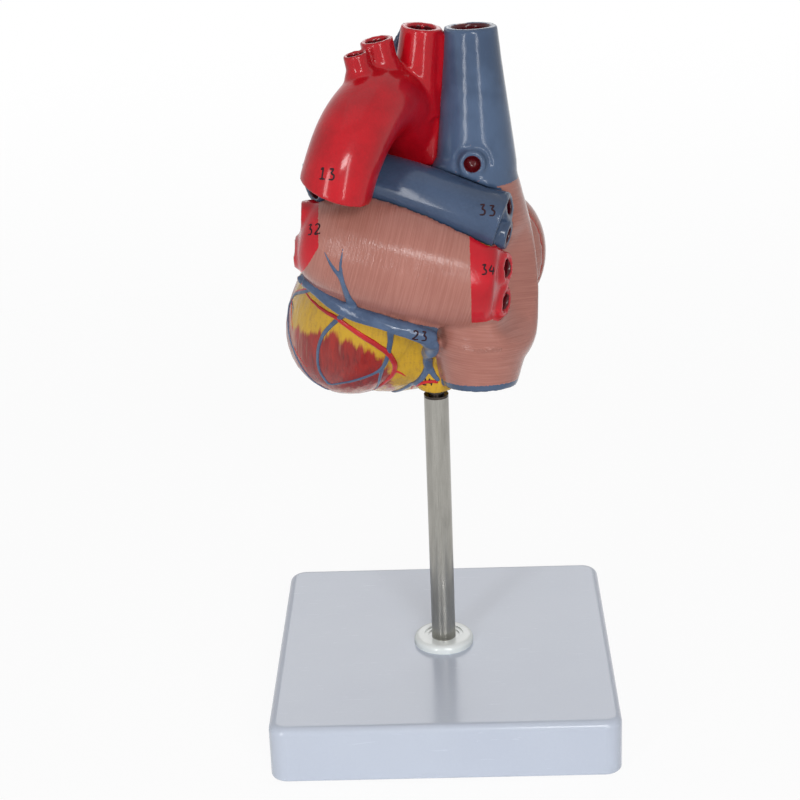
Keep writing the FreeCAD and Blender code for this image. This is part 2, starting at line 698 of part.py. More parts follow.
def cusp_valve(path, root_r):
    """Ring with pocket-shaped cusps, at the root of a great vessel."""
    outer = root_r - GREAT_VESSEL_WALL - CUSP_RING_GAP
    inner = outer - VALVE_WALL
    ring = disc(outer, 0, CUSP_RING_HEIGHT).cut(disc(inner, 0, CUSP_RING_HEIGHT))
    pocket_r = 0.62 * inner
    sector = 360.0 / CUSPS
    cusps = []
    for i in range(CUSPS):
        middle = math.radians(sector * (i + 0.5))
        centre = Vector(math.cos(middle), math.sin(middle), 0) * (0.56 * inner)
        centre.z = CUSP_RING_HEIGHT
        pocket = Part.makeSphere(pocket_r, centre).cut(
            Part.makeSphere(pocket_r - CUSP_WALL, centre))
        wedge = Part.makeCylinder(inner + VALVE_WALL / 2, 2 * pocket_r,
                                  Vector(0, 0, CUSP_RING_HEIGHT - 2 * pocket_r), Vector(0, 0, 1),
                                  sector)
        wedge.rotate(Vector(0, 0, 0), Vector(0, 0, 1), sector * i)
        cusps.append(pocket.common(wedge))
    curve = smooth_path(list(path))
    along = curve.tangent(curve.FirstParameter)[0]
    return placed(ring.fuse(cusps), path[0] + along * CUSP_RING_LIFT, along)


def papillary(places, space):
    """Blunt muscle that rises from a chamber's wall, which space draws back from."""
    foot, foot_r, tip, tip_r = places
    return cone(foot, foot_r, tip, tip_r).common(space)


def chordae(muscles, centre, axis, radius, length):
    """Thin cords from each muscle's tip to the free edge of the nearest leaflets."""
    axis = unit(axis)
    edge_centre = centre + axis * (VALVE_RING_HEIGHT / 2 + length + CHORDA_GAP)
    edge_r = radius - GLUED_FIT - LEAFLET_NARROWING - VALVE_WALL / 2
    cords = []
    for foot, foot_r, tip, tip_r in muscles:
        lift = unit(tip - foot)
        toward = tip - edge_centre
        toward = unit(toward - axis * toward.dot(axis))
        for i in range(CHORDAE_PER_MUSCLE):
            step = i - (CHORDAE_PER_MUSCLE - 1) / 2
            arm = Rotation(axis, step * CHORDA_FAN).multVec(toward)
            side = Rotation(axis, 90).multVec(toward)
            low = tip + lift * CHORDA_GAP + side * (step * CHORDA_SPREAD)
            cords.append(cone(low, CHORDA_R, edge_centre + arm * edge_r, CHORDA_R))
    return Part.makeCompound(cords)


def make_pin_socket():
    """Blind sleeve glued into the heart, which rests on the top of the pin."""
    sleeve = disc(SOCKET_R, SOCKET_MOUTH_Z, SOCKET_TOP_Z)
    return sleeve.cut(disc(SOCKET_BORE_R, SOCKET_MOUTH_Z, SOCKET_FLOOR_Z))


# ---- all parts -----------------------------------------------------------------------------
def main():
    heart = make_heart()
    rear = heart.cut(front_region(0)).cut(
        magnets(PARTING_Y - MAGNET_HEIGHT - GLUED_FIT, GLUED_FIT, 1))
    front = heart.common(front_region(PARTING_GAP)).cut(
        magnets(PARTING_Y + PARTING_GAP - 1, GLUED_FIT, 1 + GLUED_FIT))
    left_space = left_ventricle(-LEFT_VENTRICLE_WALL - GLUE_GAP)
    right_space = right_ventricle(-RIGHT_VENTRICLE_WALL - GLUE_GAP)
    left_muscles = [papillary(p, left_space) for p in LEFT_PAPILLARIES]
    right_muscles = [papillary(p, right_space) for p in RIGHT_PAPILLARIES]
    stand = {
        "base_plate": make_base_plate(),
        "rubber_feet": make_rubber_feet(),
        "post_collar": make_post_collar(),
        "post_tube": make_post_tube(),
        "tube_plug": make_tube_plug(),
        "clamp_washer": make_clamp_washer(),
        "clamp_screw": make_clamp_screw(),
    }
    on_post = {
        "spigot_pin": make_spigot_pin(),
        "pin_socket": make_pin_socket(),
        "heart_rear_wall": rear,
        "front_wall": front,
        "rear_magnets": magnets(PARTING_Y - MAGNET_HEIGHT),
        "front_magnets": magnets(PARTING_Y + PARTING_GAP),
        "aorta": make_aorta(),
        "pulmonary_arteries": make_pulmonary_arteries(),
        "mitral_valve": leaflet_valve(MITRAL_CENTRE, MITRAL_AXIS, MITRAL_R,
                                      MITRAL_LEAFLETS, MITRAL_LEAFLET_LENGTH),
        "tricuspid_valve": leaflet_valve(TRICUSPID_CENTRE, TRICUSPID_AXIS, TRICUSPID_R,
                                         TRICUSPID_LEAFLETS, TRICUSPID_LEAFLET_LENGTH),
        "aortic_valve": cusp_valve(AORTA_PATH, AORTA_RADII[0]),
        "pulmonary_valve": cusp_valve(TRUNK_PATH, TRUNK_RADII[0]),
        "left_papillary_muscles": Part.makeCompound(left_muscles),
        "right_papillary_muscles": Part.makeCompound(right_muscles),
        "mitral_chordae": chordae(LEFT_PAPILLARIES, MITRAL_CENTRE, MITRAL_AXIS, MITRAL_R,
                                  MITRAL_LEAFLET_LENGTH),
        "tricuspid_chordae": chordae(RIGHT_PAPILLARIES, TRICUSPID_CENTRE, TRICUSPID_AXIS,
                                     TRICUSPID_R, TRICUSPID_LEAFLET_LENGTH),
    }
    os.makedirs("parts", exist_ok=True)
    for name, shape in stand.items():
        shape.exportStep("parts/%s.step" % name)
    for name, shape in on_post.items():
        shape.translated(Vector(0, 0, POST_TOP)).exportStep("parts/%s.step" % name)


main()
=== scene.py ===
"""Dresses a life-size teaching model of the human heart on its stand.

The painted mouldings are made from the solid forms: evenly meshed, softened at their creases
and painted by zone. Raised vessels, handwritten index numbers, the stand's finishes, the
studio and the camera follow. Places on the heart are in millimetres from the post's top, and
become metres in the object's own frame when a mesh is made.
"""
import logging
import math
from dataclasses import dataclass, field, replace
from enum import Enum

import bpy
import numpy as np
from mathutils import Matrix, Vector, noise
from mathutils.bvhtree import BVHTree
from mathutils.kdtree import KDTree


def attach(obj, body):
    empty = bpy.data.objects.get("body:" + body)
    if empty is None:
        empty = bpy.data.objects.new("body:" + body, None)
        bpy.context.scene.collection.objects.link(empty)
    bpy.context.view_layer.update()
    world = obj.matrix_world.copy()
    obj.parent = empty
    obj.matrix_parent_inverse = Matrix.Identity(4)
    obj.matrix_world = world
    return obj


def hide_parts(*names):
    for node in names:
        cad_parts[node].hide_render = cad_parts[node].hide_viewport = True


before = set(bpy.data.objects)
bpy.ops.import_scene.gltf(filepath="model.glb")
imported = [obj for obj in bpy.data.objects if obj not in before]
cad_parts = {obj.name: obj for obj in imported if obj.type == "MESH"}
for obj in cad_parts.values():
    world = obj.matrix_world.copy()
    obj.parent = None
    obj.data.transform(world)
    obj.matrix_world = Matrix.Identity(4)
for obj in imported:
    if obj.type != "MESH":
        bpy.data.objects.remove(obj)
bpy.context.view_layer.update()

MM = 0.001
FAR_AWAY = 1000.0
POST_TOP = np.array([0.0, 0.0, 137.0])
LOG = logging.getLogger("heart")

Place = tuple[float, float, float]
Colour = tuple[float, float, float]
Ramp = tuple[float, float]


def paint(red: int, green: int, blue: int) -> Colour:
    """Turns a colour as seen on a screen into the linear one that a shader takes.

    Args:
        red: Red from 0 to 255.
        green: Green from 0 to 255.
        blue: Blue from 0 to 255.

    Returns:
        The linear colour.
    """
    shares = [c / 255.0 for c in (red, green, blue)]
    return tuple(s / 12.92 if s <= 0.04045 else ((s + 0.055) / 1.055) ** 2.4 for s in shares)


def unit(vector: np.ndarray) -> np.ndarray:
    """Gives a vector, or each row of several, a length of one.

    Args:
        vector: One vector or an array of them.

    Returns:
        The same directions with a length of one.
    """
    length = np.linalg.norm(vector, axis=-1, keepdims=True)
    return vector / np.maximum(length, 1e-12)


def ramp(values: np.ndarray, start: float, length: float) -> np.ndarray:
    """Rises evenly from 0 at a start to 1 at a length further on.

    Args:
        values: Places along one axis.
        start: Where the rise starts.
        length: How far it goes on, below zero to rise towards lower values.

    Returns:
        Numbers from 0 to 1.
    """
    return np.clip((values - start) / length, 0, 1)


def ease(rows: np.ndarray) -> None:
    """Moves each row but the first and last halfway to its neighbours' middle."""
    rows[1:-1] = 0.25 * rows[:-2] + 0.5 * rows[1:-1] + 0.25 * rows[2:]


def add_object(name: str, data: bpy.types.ID) -> bpy.types.Object:
    """Adds an object to the scene.

    Args:
        name: The object's name.
        data: Its mesh, light or camera.

    Returns:
        The object.
    """
    made = bpy.data.objects.new(name, data)
    bpy.context.scene.collection.objects.link(made)
    return made


# ---- shaders -------------------------------------------------------------------------------
@dataclass(frozen=True)
class Value:
    """A number in a shader, so that shader maths reads as an expression."""

    sheet: "Sheet"
    socket: bpy.types.NodeSocket

    def __add__(self, other: "Value | float") -> "Value":
        """Adds."""
        return self.sheet.maths("ADD", self, other)

    __radd__ = __add__

    def __sub__(self, other: "Value | float") -> "Value":
        """Subtracts."""
        return self.sheet.maths("SUBTRACT", self, other)

    def __rsub__(self, other: float) -> "Value":
        """Subtracts this from a number."""
        return self.sheet.maths("SUBTRACT", other, self)

    def __mul__(self, other: "Value | float") -> "Value":
        """Multiplies."""
        return self.sheet.maths("MULTIPLY", self, other)

    __rmul__ = __mul__

    def at_least(self, other: "Value | float") -> "Value":
        """The larger of the two."""
        return self.sheet.maths("MAXIMUM", self, other)

    def step(self, low: float, high: float) -> "Value":
        """Rises smoothly from 0 at low to 1 at high.

        Args:
            low: Where the rise starts.
            high: Where it ends.

        Returns:
            A value from 0 to 1.
        """
        made = self.sheet.node("ShaderNodeMapRange", {"interpolation_type": "SMOOTHSTEP"},
                               {"Value": self, "From Min": low, "From Max": high})
        return Value(self.sheet, made.outputs["Result"])


class Sheet:
    """One material's sheet of nodes."""

    def __init__(self, name: str) -> None:
        """Starts an empty material with its shader and output.

        Args:
            name: The material's name.
        """
        self.material = bpy.data.materials.new(name)
        self.material.use_nodes = True
        self.tree = self.material.node_tree
        self.tree.nodes.clear()
        self.shader = self.node("ShaderNodeBsdfPrincipled")
        self.output = self.node("ShaderNodeOutputMaterial", {},
                                {"Surface": self.shader.outputs[0]})

    def path(self, *kinds: str) -> Value:
        """Tells whether a ray is of one of some kinds.

        Args:
            kinds: The kinds, such as Is Camera Ray.

        Returns:
            1 where it is, and 0 elsewhere.
        """
        rays = self.node("ShaderNodeLightPath").outputs
        found = Value(self, rays[kinds[-1]])
        for kind in kinds[-2::-1]:
            found = Value(self, rays[kind]).at_least(found)
        return found

    def node(self, kind: str, settings: dict | None = None,
             sockets: dict | None = None) -> bpy.types.Node:
        """Adds one node.

        Args:
            kind: The node's type.
            settings: Its settings, set first.
            sockets: Values or links for its inputs, by name or number.

        Returns:
            The node.
        """
        made = self.tree.nodes.new(kind)
        for key, value in (settings or {}).items():
            setattr(made, key, value)
        for key, value in (sockets or {}).items():
            self.plug(made.inputs[key], value)
        return made

    def plug(self, socket: bpy.types.NodeSocket, value: object) -> None:
        """Links or sets one input.

        Args:
            socket: The input.
            value: A Value, an output socket, a number or a colour.
        """
        if isinstance(value, Value):
            self.tree.links.new(value.socket, socket)
        elif isinstance(value, bpy.types.NodeSocket):
            self.tree.links.new(value, socket)
        elif socket.type == "RGBA":
            socket.default_value = (*value, 1.0)
        else:
            socket.default_value = value

    def maths(self, operation: str, *values: "Value | float") -> Value:
        """Adds a Math node for an expression."""
        made = self.node("ShaderNodeMath", {"operation": operation}, dict(enumerate(values)))
        return Value(self, made.outputs[0])

    def attribute(self, name: str) -> Value:
        """Reads a number that is stored on the mesh."""
        made = self.node("ShaderNodeAttribute", {"attribute_name": name})
        return Value(self, made.outputs["Fac"])

    def direction(self, name: str) -> bpy.types.NodeSocket:
        """Reads a vector that is stored on the mesh."""
        return self.node("ShaderNodeAttribute", {"attribute_name": name}).outputs["Vector"]

    def place(self, stretch: Place = (1.0, 1.0, 1.0)) -> bpy.types.NodeSocket:
        """Reads the place on the object in millimetres.

        Args:
            stretch: Factors for X, Y and Z.

        Returns:
            The vector's socket.
        """
        where = self.node("ShaderNodeTexCoord").outputs["Object"]
        factors = tuple(1000.0 * s for s in stretch)
        made = self.node("ShaderNodeVectorMath", {"operation": "MULTIPLY"},
                         {0: where, 1: factors})
        return made.outputs[0]

    def noise(self, where: bpy.types.NodeSocket, scale: float, detail: float = 2.0,
              rough: float = 0.5, warp: float = 0.0) -> Value:
        """Adds smooth noise.

        Args:
            where: The place that it is read at.
            scale: Features per unit of that place.
            detail: Number of finer layers.
            rough: Strength of the finer layers.
            warp: Distortion.

        Returns:
            A value from 0 to 1.
        """
        made = self.node("ShaderNodeTexNoise", {}, {
            "Vector": where, "Scale": scale, "Detail": detail, "Roughness": rough,
            "Distortion": warp})
        return Value(self, made.outputs["Fac"])

    def mix(self, share: "Value | float", first: object,
            second: object) -> bpy.types.NodeSocket:
        """Mixes two colours.

        Args:
            share: Share of the second, from 0 to 1.
            first: The first colour.
            second: The second colour.

        Returns:
            The mixed colour's socket.
        """
        made = self.node("ShaderNodeMix", {"data_type": "RGBA"},
                         {0: share, 6: first, 7: second})
        return made.outputs[2]

    def bump(self, height: Value, depth_mm: float,
             under: bpy.types.NodeSocket | None = None) -> bpy.types.NodeSocket:
        """Adds relief to the shading.

        Args:
            height: Height from 0 to 1.
            depth_mm: What 1 is in millimetres.
            under: A relief that this one lies on.

        Returns:
            The normal's socket.
        """
        sockets = {"Strength": 1.0, "Distance": depth_mm * MM, "Height": height}
        if under is not None:
            sockets["Normal"] = under
        return self.node("ShaderNodeBump", {}, sockets).outputs[0]

    def finish(self, sockets: dict) -> bpy.types.Material:
        """Sets the shader's inputs.

        Args:
            sockets: Values or links by input name.

        Returns:
            The finished material.
        """
        for name, value in sockets.items():
            self.plug(self.shader.inputs[name], value)
        return self.material


class Sky(Sheet):
    """The world's sheet of nodes."""

    def __init__(self, name: str) -> None:
        """Starts an empty world.

        Args:
            name: The world's name.
        """
        self.world = bpy.data.worlds.new(name)
        self.world.use_nodes = True
        self.tree = self.world.node_tree
        self.tree.nodes.clear()


@dataclass(frozen=True)
class Lacquer:
    """The clear gloss over every painted moulding."""

    weight: float = 0.5
    roughness: float = 0.13
    ior: float = 1.5
    under: float = 0.06

    def sockets(self) -> dict:
        """The shader inputs that the gloss sets."""
        return {"Coat Weight": self.weight, "Coat Roughness": self.roughness,
                "Coat IOR": self.ior, "Specular IOR Level": self.under}


@dataclass(frozen=True)
class Enamel:
    """One opaque brushed-on colour with slight mottling, such as a vessel's red or blue."""

    name: str
    colour: Colour
    deep: Colour
    # lumen: the holes' dark red paint, darkened further as painted shade.
    lumen: Colour
    floor: Colour = paint(128, 84, 92)
    roughness: float = 0.34
    peel_mm: float = 0.05

    def material(self) -> bpy.types.Material:
        """Makes the material, with dark red paint deepened into painted shade where the attribute
        lumen is set.
        """
        sheet = Sheet(self.name)
        where = sheet.place()
        broad = sheet.noise(where, 0.07, 3.0, 0.55)
        fine = sheet.noise(where, 0.9, 3.0, 0.6)
        body = sheet.mix((broad * 0.75 + fine * 0.25).step(0.36, 0.66), self.colour, self.deep)
        # Painted shade inside the holes: the lumen colour is their dark red paint made darker.
        inside = sheet.mix(fine.step(0.3, 0.7), self.lumen, tuple(0.6 * c for c in self.lumen))
        wobble = sheet.noise(where, 1.4, 1.0) - 0.5
        hollow = (sheet.attribute("lumen") + wobble * 0.2).step(0.08, 0.28)
        inside = sheet.mix(sheet.attribute("floor"), inside, self.floor)
        colour = sheet.mix(hollow, body, inside)
        wear = sheet.noise(where, 0.35, 4.0, 0.6)
        normal = sheet.bump(sheet.noise(where, 0.45, 2.0), self.peel_mm * 2.4)
        normal = sheet.bump(fine, self.peel_mm, normal)
        return sheet.finish({"Base Color": colour, "Normal": normal,
                             "Roughness": wear * 0.16 + (self.roughness - 0.08),
                             **Lacquer().sockets()})


@dataclass(frozen=True)
class HeartPaint:
    """The hand-painted zones of the heart's own mouldings."""

    name: str
    salmon: Colour = paint(176, 119, 107)
    salmon_deep: Colour = paint(163, 106, 94)
    muscle: Colour = paint(164, 40, 32)
    muscle_deep: Colour = paint(128, 26, 25)
    muscle_line: Colour = paint(84, 18, 20)
    # muscle_sheen is a painted sheen: the paler muscle at the lower tip and along the left margin
    # of the back.
    muscle_sheen: Colour = paint(190, 132, 112)
    fat: Colour = paint(206, 162, 38)
    fat_deep: Colour = paint(164, 122, 44)
    blue: Colour = paint(78, 98, 127)
    blue_deep: Colour = paint(64, 82, 109)
    red: Colour = paint(200, 22, 38)
    red_deep: Colour = paint(174, 16, 31)
    inner: Colour = paint(206, 128, 116)
    inner_deep: Colour = paint(166, 72, 66)
    cut: Colour = paint(184, 86, 76)
    cut_deep: Colour = paint(150, 52, 48)
    # lumen: the dark red inside bores and openings, darkened further as painted shade.
    lumen: Colour = paint(84, 10, 18)
    fat_flames: float = 13.0
    fat_edge: Ramp = (-1.6, 2.0)
    sheen_flames: float = 2.2
    sheen_most: float = 0.85
    line_most: float = 0.55
    grain_mm: float = 0.20
    speck_mm: float = 0.035
    gloss: Lacquer = Lacquer(0.05, 0.14, 1.5, 0.27)

    def material(self) -> bpy.types.Material:
        """Makes the material from the zone attributes of a painted moulding."""
        sheet = Sheet(self.name)
        where = sheet.place()
        grain = sheet.direction("grain")
        fine = sheet.noise(grain, 1.0, 2.0, 0.55, 0.15)
        coarse = sheet.noise(grain, 0.30, 2.0, 0.5, 0.3)
        broad = sheet.noise(where, 0.045, 3.0, 0.55)
        speck = sheet.noise(where, 1.3, 2.0, 0.5)
        wobble = speck - 0.5

        salmon = sheet.mix((broad * 0.40 + fine * 0.60).step(0.38, 0.64), self.salmon,
                           self.salmon_deep)
        flames = sheet.noise(grain, 0.42, 3.0, 0.6, 0.2)
        fat_edge = sheet.attribute("fat") + (flames - 0.5) * self.fat_flames
        # Painted sheen: the muscle is painted paler at the lower tip and along the left margin of
        # the back.
        pale = (sheet.attribute("pale") + (flames - 0.5) * self.sheen_flames).step(0.25, 0.95)
        muscle = sheet.mix((flames * 0.5 + broad * 0.5).step(0.38, 0.62), self.muscle,
                           self.muscle_deep)
        lines = (fine * 0.7 + flames * 0.3).step(0.58, 0.70)
        muscle = sheet.mix(lines * self.line_most, muscle, self.muscle_line)
        # Lays the painted sheen over the muscle.
        muscle = sheet.mix(pale * self.sheen_most, muscle, self.muscle_sheen)
        fat = sheet.mix((broad * 0.5 + fine * 0.3 + speck * 0.2).step(0.42, 0.70), self.fat,
                        self.fat_deep)
        ventricle = sheet.mix(fat_edge.step(*self.fat_edge), muscle, fat)
        inner = sheet.mix((fine * 0.5 + coarse * 0.5).step(0.38, 0.66), self.inner,
                          self.inner_deep)
        cut = sheet.mix((speck * 0.5 + broad * 0.5).step(0.36, 0.64), self.cut, self.cut_deep)
        blue = sheet.mix(broad.step(0.38, 0.66), self.blue, self.blue_deep)
        red = sheet.mix(broad.step(0.38, 0.66), self.red, self.red_deep)

        in_ventricle = sheet.attribute("ventricle").step(0.42, 0.58)
        in_blue = (sheet.attribute("blue") + wobble * 1.1).step(-0.12, 0.12)
        in_red = (sheet.attribute("red") + wobble * 0.8).step(-0.12, 0.12)
        in_inner = sheet.attribute("inner").step(0.45, 0.6)
        in_cut = sheet.attribute("cut").step(0.45, 0.6)
        # Painted shade inside bores and openings, over their dark red paint.
        in_lumen = (sheet.attribute("lumen") + wobble * 0.3).step(-0.12, 0.12)
        colour = sheet.mix(in_ventricle, salmon, ventricle)
        for share, coat in ((in_blue, blue), (in_red, red), (in_inner, inner), (in_cut, cut),
                            (in_lumen, self.lumen)):
            colour = sheet.mix(share, colour, coat)

        smooth = in_blue.at_least(in_red).at_least(in_cut).at_least(in_lumen)
        ridge = fine * 0.75 + coarse * 0.25
        normal = sheet.bump((ridge - 0.5) * (1.0 - smooth) + 0.5, self.grain_mm)
        normal = sheet.bump(speck, self.speck_mm, normal)
        wear = sheet.noise(where, 0.3, 4.0, 0.6)
        return sheet.finish({"Base Color": colour, "Normal": normal,
                             "Roughness": wear * 0.08 + 0.12 + in_cut * 0.1,
                             **self.gloss.sockets()})


@dataclass(frozen=True)
class Ink:
    """Felt-pen ink of the handwritten numbers."""

    name: str = "ink_black"
    colour: Colour = paint(24, 14, 20)

    def material(self) -> bpy.types.Material:
        """Makes the material."""
        sheet = Sheet(self.name)
        speck = sheet.noise(sheet.place(), 2.0, 2.0)
        colour = sheet.mix(speck.step(0.3, 0.75), self.colour, paint(62, 32, 40))
        return sheet.finish({"Base Color": colour, "Roughness": speck * 0.2 + 0.45,
                             "Specular IOR Level": 0.15})


@dataclass(frozen=True)
class Moulded:
    """Plain moulded plastic or rubber, with faint flow marks and handling scratches."""

    name: str
    colour: Colour
    deep: Colour
    roughness: float
    gloss: float
    mark_mm: float = 0.012

    def material(self) -> bpy.types.Material:
        """Makes the material."""
        sheet = Sheet(self.name)
        where = sheet.place()
        broad = sheet.noise(where, 0.02, 3.0, 0.5)
        fine = sheet.noise(where, 0.8, 3.0, 0.6)
        scratch = sheet.noise(sheet.place((0.08, 1.9, 0.5)), 0.8, 3.0, 0.7, 0.8)
        colour = sheet.mix((broad * 0.7 + fine * 0.3).step(0.35, 0.68), self.colour, self.deep)
        normal = sheet.bump(sheet.noise(where, 0.05, 2.0), self.mark_mm * 8)
        normal = sheet.bump(fine, self.mark_mm, normal)
        rough = fine * 0.06 + scratch.step(0.62, 0.72) * 0.12 + (self.roughness - 0.03)
        return sheet.finish({"Base Color": colour, "Roughness": rough, "Normal": normal,
                             "Coat Weight": self.gloss, "Coat Roughness": 0.08})


@dataclass(frozen=True)
class Metal:
    """Turned or drawn metal, with striations along or round its axis."""

    name: str
    colour: Colour
    dark: Colour
    roughness: float
    stretch: Place
    depth_mm: float = 0.01

    def material(self) -> bpy.types.Material:
        """Makes the material."""
        sheet = Sheet(self.name)
        lines = sheet.noise(sheet.place(self.stretch), 2.2, 4.0, 0.65, 0.2)
        stain = sheet.noise(sheet.place((0.6, 0.6, 0.12)), 0.35, 4.0, 0.6, 0.6)
        colour = sheet.mix((lines * 0.55 + stain * 0.45).step(0.34, 0.68), self.colour,
                           self.dark)
        return sheet.finish({"Base Color": colour, "Metallic": 1.0,
                             "Roughness": lines * 0.18 + stain * 0.16 + (self.roughness - 0.17),
                             "Normal": sheet.bump(lines, self.depth_mm)})


# ---- painted mouldings ---------------------------------------------------------------------
class Zone(Enum):
    """What a patch of a moulding's surface belongs to."""

    INNER = 0
    LEFT_VENTRICLE = 1
    RIGHT_VENTRICLE = 2
    LEFT_ATRIUM = 3
    RIGHT_ATRIUM = 4
    VEIN = 5
    ARTERY = 6
    CUT = 7
    LUMEN = 8


VENTRICLES = (Zone.LEFT_VENTRICLE, Zone.RIGHT_VENTRICLE)
UPPER_ZONES = (Zone.LEFT_ATRIUM, Zone.RIGHT_ATRIUM, Zone.VEIN)


@dataclass(frozen=True)
class Fill:
    """A round, tapering bar that is fused to a moulding."""

    foot: Place
    top: Place
    foot_radius: float
    top_radius: float

    def join(self, piece: bpy.types.Object) -> None:
        """Adds the bar to a piece.

        Args:
            piece: The piece.
        """
        foot, top = Vector(self.foot), Vector(self.top)
        along = top - foot
        bpy.ops.mesh.primitive_cone_add(
            vertices=40, radius1=self.foot_radius * MM, radius2=self.top_radius * MM,
            depth=along.length * MM, location=((foot + top) / 2 + Vector(POST_TOP)) * MM,
            rotation=along.to_track_quat("Z", "Y").to_euler())
        piece.select_set(True)
        bpy.context.view_layer.objects.active = piece
        bpy.ops.object.join()


@dataclass(frozen=True)
class Squeeze:
    """A place where a moulding is less full towards +X than its solid."""

    centre: Place
    reach: float
    from_x: float
    share: float
    behind_y: Ramp = (-2.0, -7.0)

    def moved(self, points: np.ndarray) -> np.ndarray:
        """Moves points.

        Args:
            points: Places on the heart.

        Returns:
            The moved places.
        """
        away = np.linalg.norm(points - np.array(self.centre), axis=1) / self.reach
        near = np.clip(2.0 - 2.0 * away, 0, 1)
        near = near * near * (3 - 2 * near) * ramp(points[:, 1], *self.behind_y)
        result = points.copy()
        result[:, 0] -= self.share * near * np.maximum(points[:, 0] - self.from_x, 0)
        return result


@dataclass(frozen=True)
class Bore:
    """A round blind hole in the end of a stub. A rim adds the stub itself, of that radius."""

    foot: Place
    top: Place
    radius: float
    depth: float = 6.0
    rim: float = 0.0
    wall_margin: float = 0.30
    lip: float = 0.15
    floor_margin: float = 1.2
    end_depth: float = 1.6

    def inside(self, points: np.ndarray) -> np.ndarray:
        """Finds how far points are inside the hole.

        Args:
            points: Places on the heart.

        Returns:
            Millimetres inside, or below zero outside.
        """
        top = np.array(self.top)
        along = unit(top - np.array(self.foot))
        offset = points - top
        sunk = -(offset @ along)
        out = np.linalg.norm(offset + sunk[:, None] * along, axis=1)
        return np.minimum(self.radius + self.wall_margin - out,
                          np.minimum(sunk + self.lip,
                                     self.depth + self.floor_margin - sunk))

    def sink(self, piece: bpy.types.Object) -> None:
        """Presses the hole into the end of its stub.

        Args:
            piece: The moulding.
        """
        mesh = Mesh.of(piece)
        top = np.array(self.top)
        along = unit(top - np.array(self.foot))
        height = (mesh.points - top) @ along
        out = np.linalg.norm(mesh.points - top - height[:, None] * along, axis=1)
        pressed = (out < self.radius) & (np.abs(height) < self.end_depth)
        moved = mesh.points - (pressed * self.depth)[:, None] * along
        place_points(piece, moved)


@dataclass(frozen=True)
class Mesh:
    """A piece's mesh as arrays, in millimetres from the post's top."""

    points: np.ndarray
    normals: np.ndarray
    edges: np.ndarray

    @classmethod
    def of(cls, piece: bpy.types.Object) -> "Mesh":
        """Reads the arrays from a piece.

        Args:
            piece: The piece.

        Returns:
            Its mesh.
        """
        data = piece.data
        count = len(data.vertices)
        points = np.empty(count * 3)
        normals = np.empty(count * 3)
        edges = np.empty(len(data.edges) * 2, np.int64)
        data.vertices.foreach_get("co", points)
        data.vertices.foreach_get("normal", normals)
        data.edges.foreach_get("vertices", edges)
        return cls(points.reshape(-1, 3) / MM - POST_TOP, normals.reshape(-1, 3),
                   edges.reshape(-1, 2))

    def spread(self, values: np.ndarray, times: int) -> np.ndarray:
        """Evens out numbers over neighbouring points.

        Args:
            values: One number a point.
            times: How many times.

        Returns:
            The evened numbers.
        """
        count = len(self.points)
        first, second = self.edges[:, 0], self.edges[:, 1]
        around = np.maximum(np.bincount(self.edges.ravel(), minlength=count), 1)
        for _ in range(times):
            total = np.bincount(first, values[second], count)
            total += np.bincount(second, values[first], count)
            values = 0.5 * values + 0.5 * total / around
        return values


def select_only(piece: bpy.types.Object) -> None:
    """Selects one object and makes it active."""
    bpy.ops.object.select_all(action="DESELECT")
    piece.select_set(True)
    bpy.context.view_layer.objects.active = piece


def apply_modifier(piece: bpy.types.Object, kind: str, settings: dict) -> None:
    """Adds one modifier to a piece and applies it.

    Args:
        piece: The piece.
        kind: The modifier's type.
        settings: Its settings.
    """
    select_only(piece)
    bpy.ops.object.modifier_add(type=kind)
    modifier = piece.modifiers[-1]
    for key, value in settings.items():
        setattr(modifier, key, value)
    bpy.ops.object.modifier_apply(modifier=modifier.name)


def mesh_evenly(piece: bpy.types.Object, voxel_mm: float) -> None:
    """Meshes a piece evenly and joins what overlaps in it.

    Args:
        piece: The piece.
        voxel_mm: The size of the new faces.
    """
    apply_modifier(piece, "REMESH", {"mode": "VOXEL", "voxel_size": voxel_mm * MM,
                                     "use_smooth_shade": True})


def soften(piece: bpy.types.Object, times: int) -> None:
    """Smooths a piece's surface a number of times."""
    apply_modifier(piece, "SMOOTH", {"factor": 0.5, "iterations": times})


def place_points(piece: bpy.types.Object, points: np.ndarray) -> None:
    """Puts a piece's points at places on the heart."""
    piece.data.vertices.foreach_set("co", ((points + POST_TOP) * MM).ravel())
    piece.data.update()


def nearest_distance(points: np.ndarray, targets: np.ndarray) -> np.ndarray:
    """Measures how far each point is from the nearest target.

    Args:
        points: Places to measure from.
        targets: Places to measure to.

    Returns:
        One distance a point, or FAR_AWAY where there are no targets.
    """
    if len(targets) == 0:
        return np.full(len(points), FAR_AWAY)
    tree = KDTree(len(targets))
    for index, target in enumerate(targets):
        tree.insert(target, index)
    tree.balance()
    return np.array([tree.find(p)[2] for p in points])


def flowing_line(route: np.ndarray, pitch: float) -> np.ndarray:
    """Draws a smooth line through a route's points.

    Args:
        route: The points.
        pitch: Distance between the samples.

    Returns:
        The samples.
    """
    padded = np.vstack([2 * route[0] - route[1], route, 2 * route[-1] - route[-2]])
    samples = []
    for before, start, end, after in zip(padded, padded[1:], padded[2:], padded[3:]):
        count = max(2, int(np.linalg.norm(end - start) / pitch))
        t = np.linspace(0, 1, count, endpoint=False)[:, None]
        samples.append(0.5 * (2 * start + (end - before) * t
                              + (2 * before - 5 * start + 4 * end - after) * t ** 2
                              + (3 * start - before - 3 * end + after) * t ** 3))
    return np.vstack(samples + [route[-1:]])


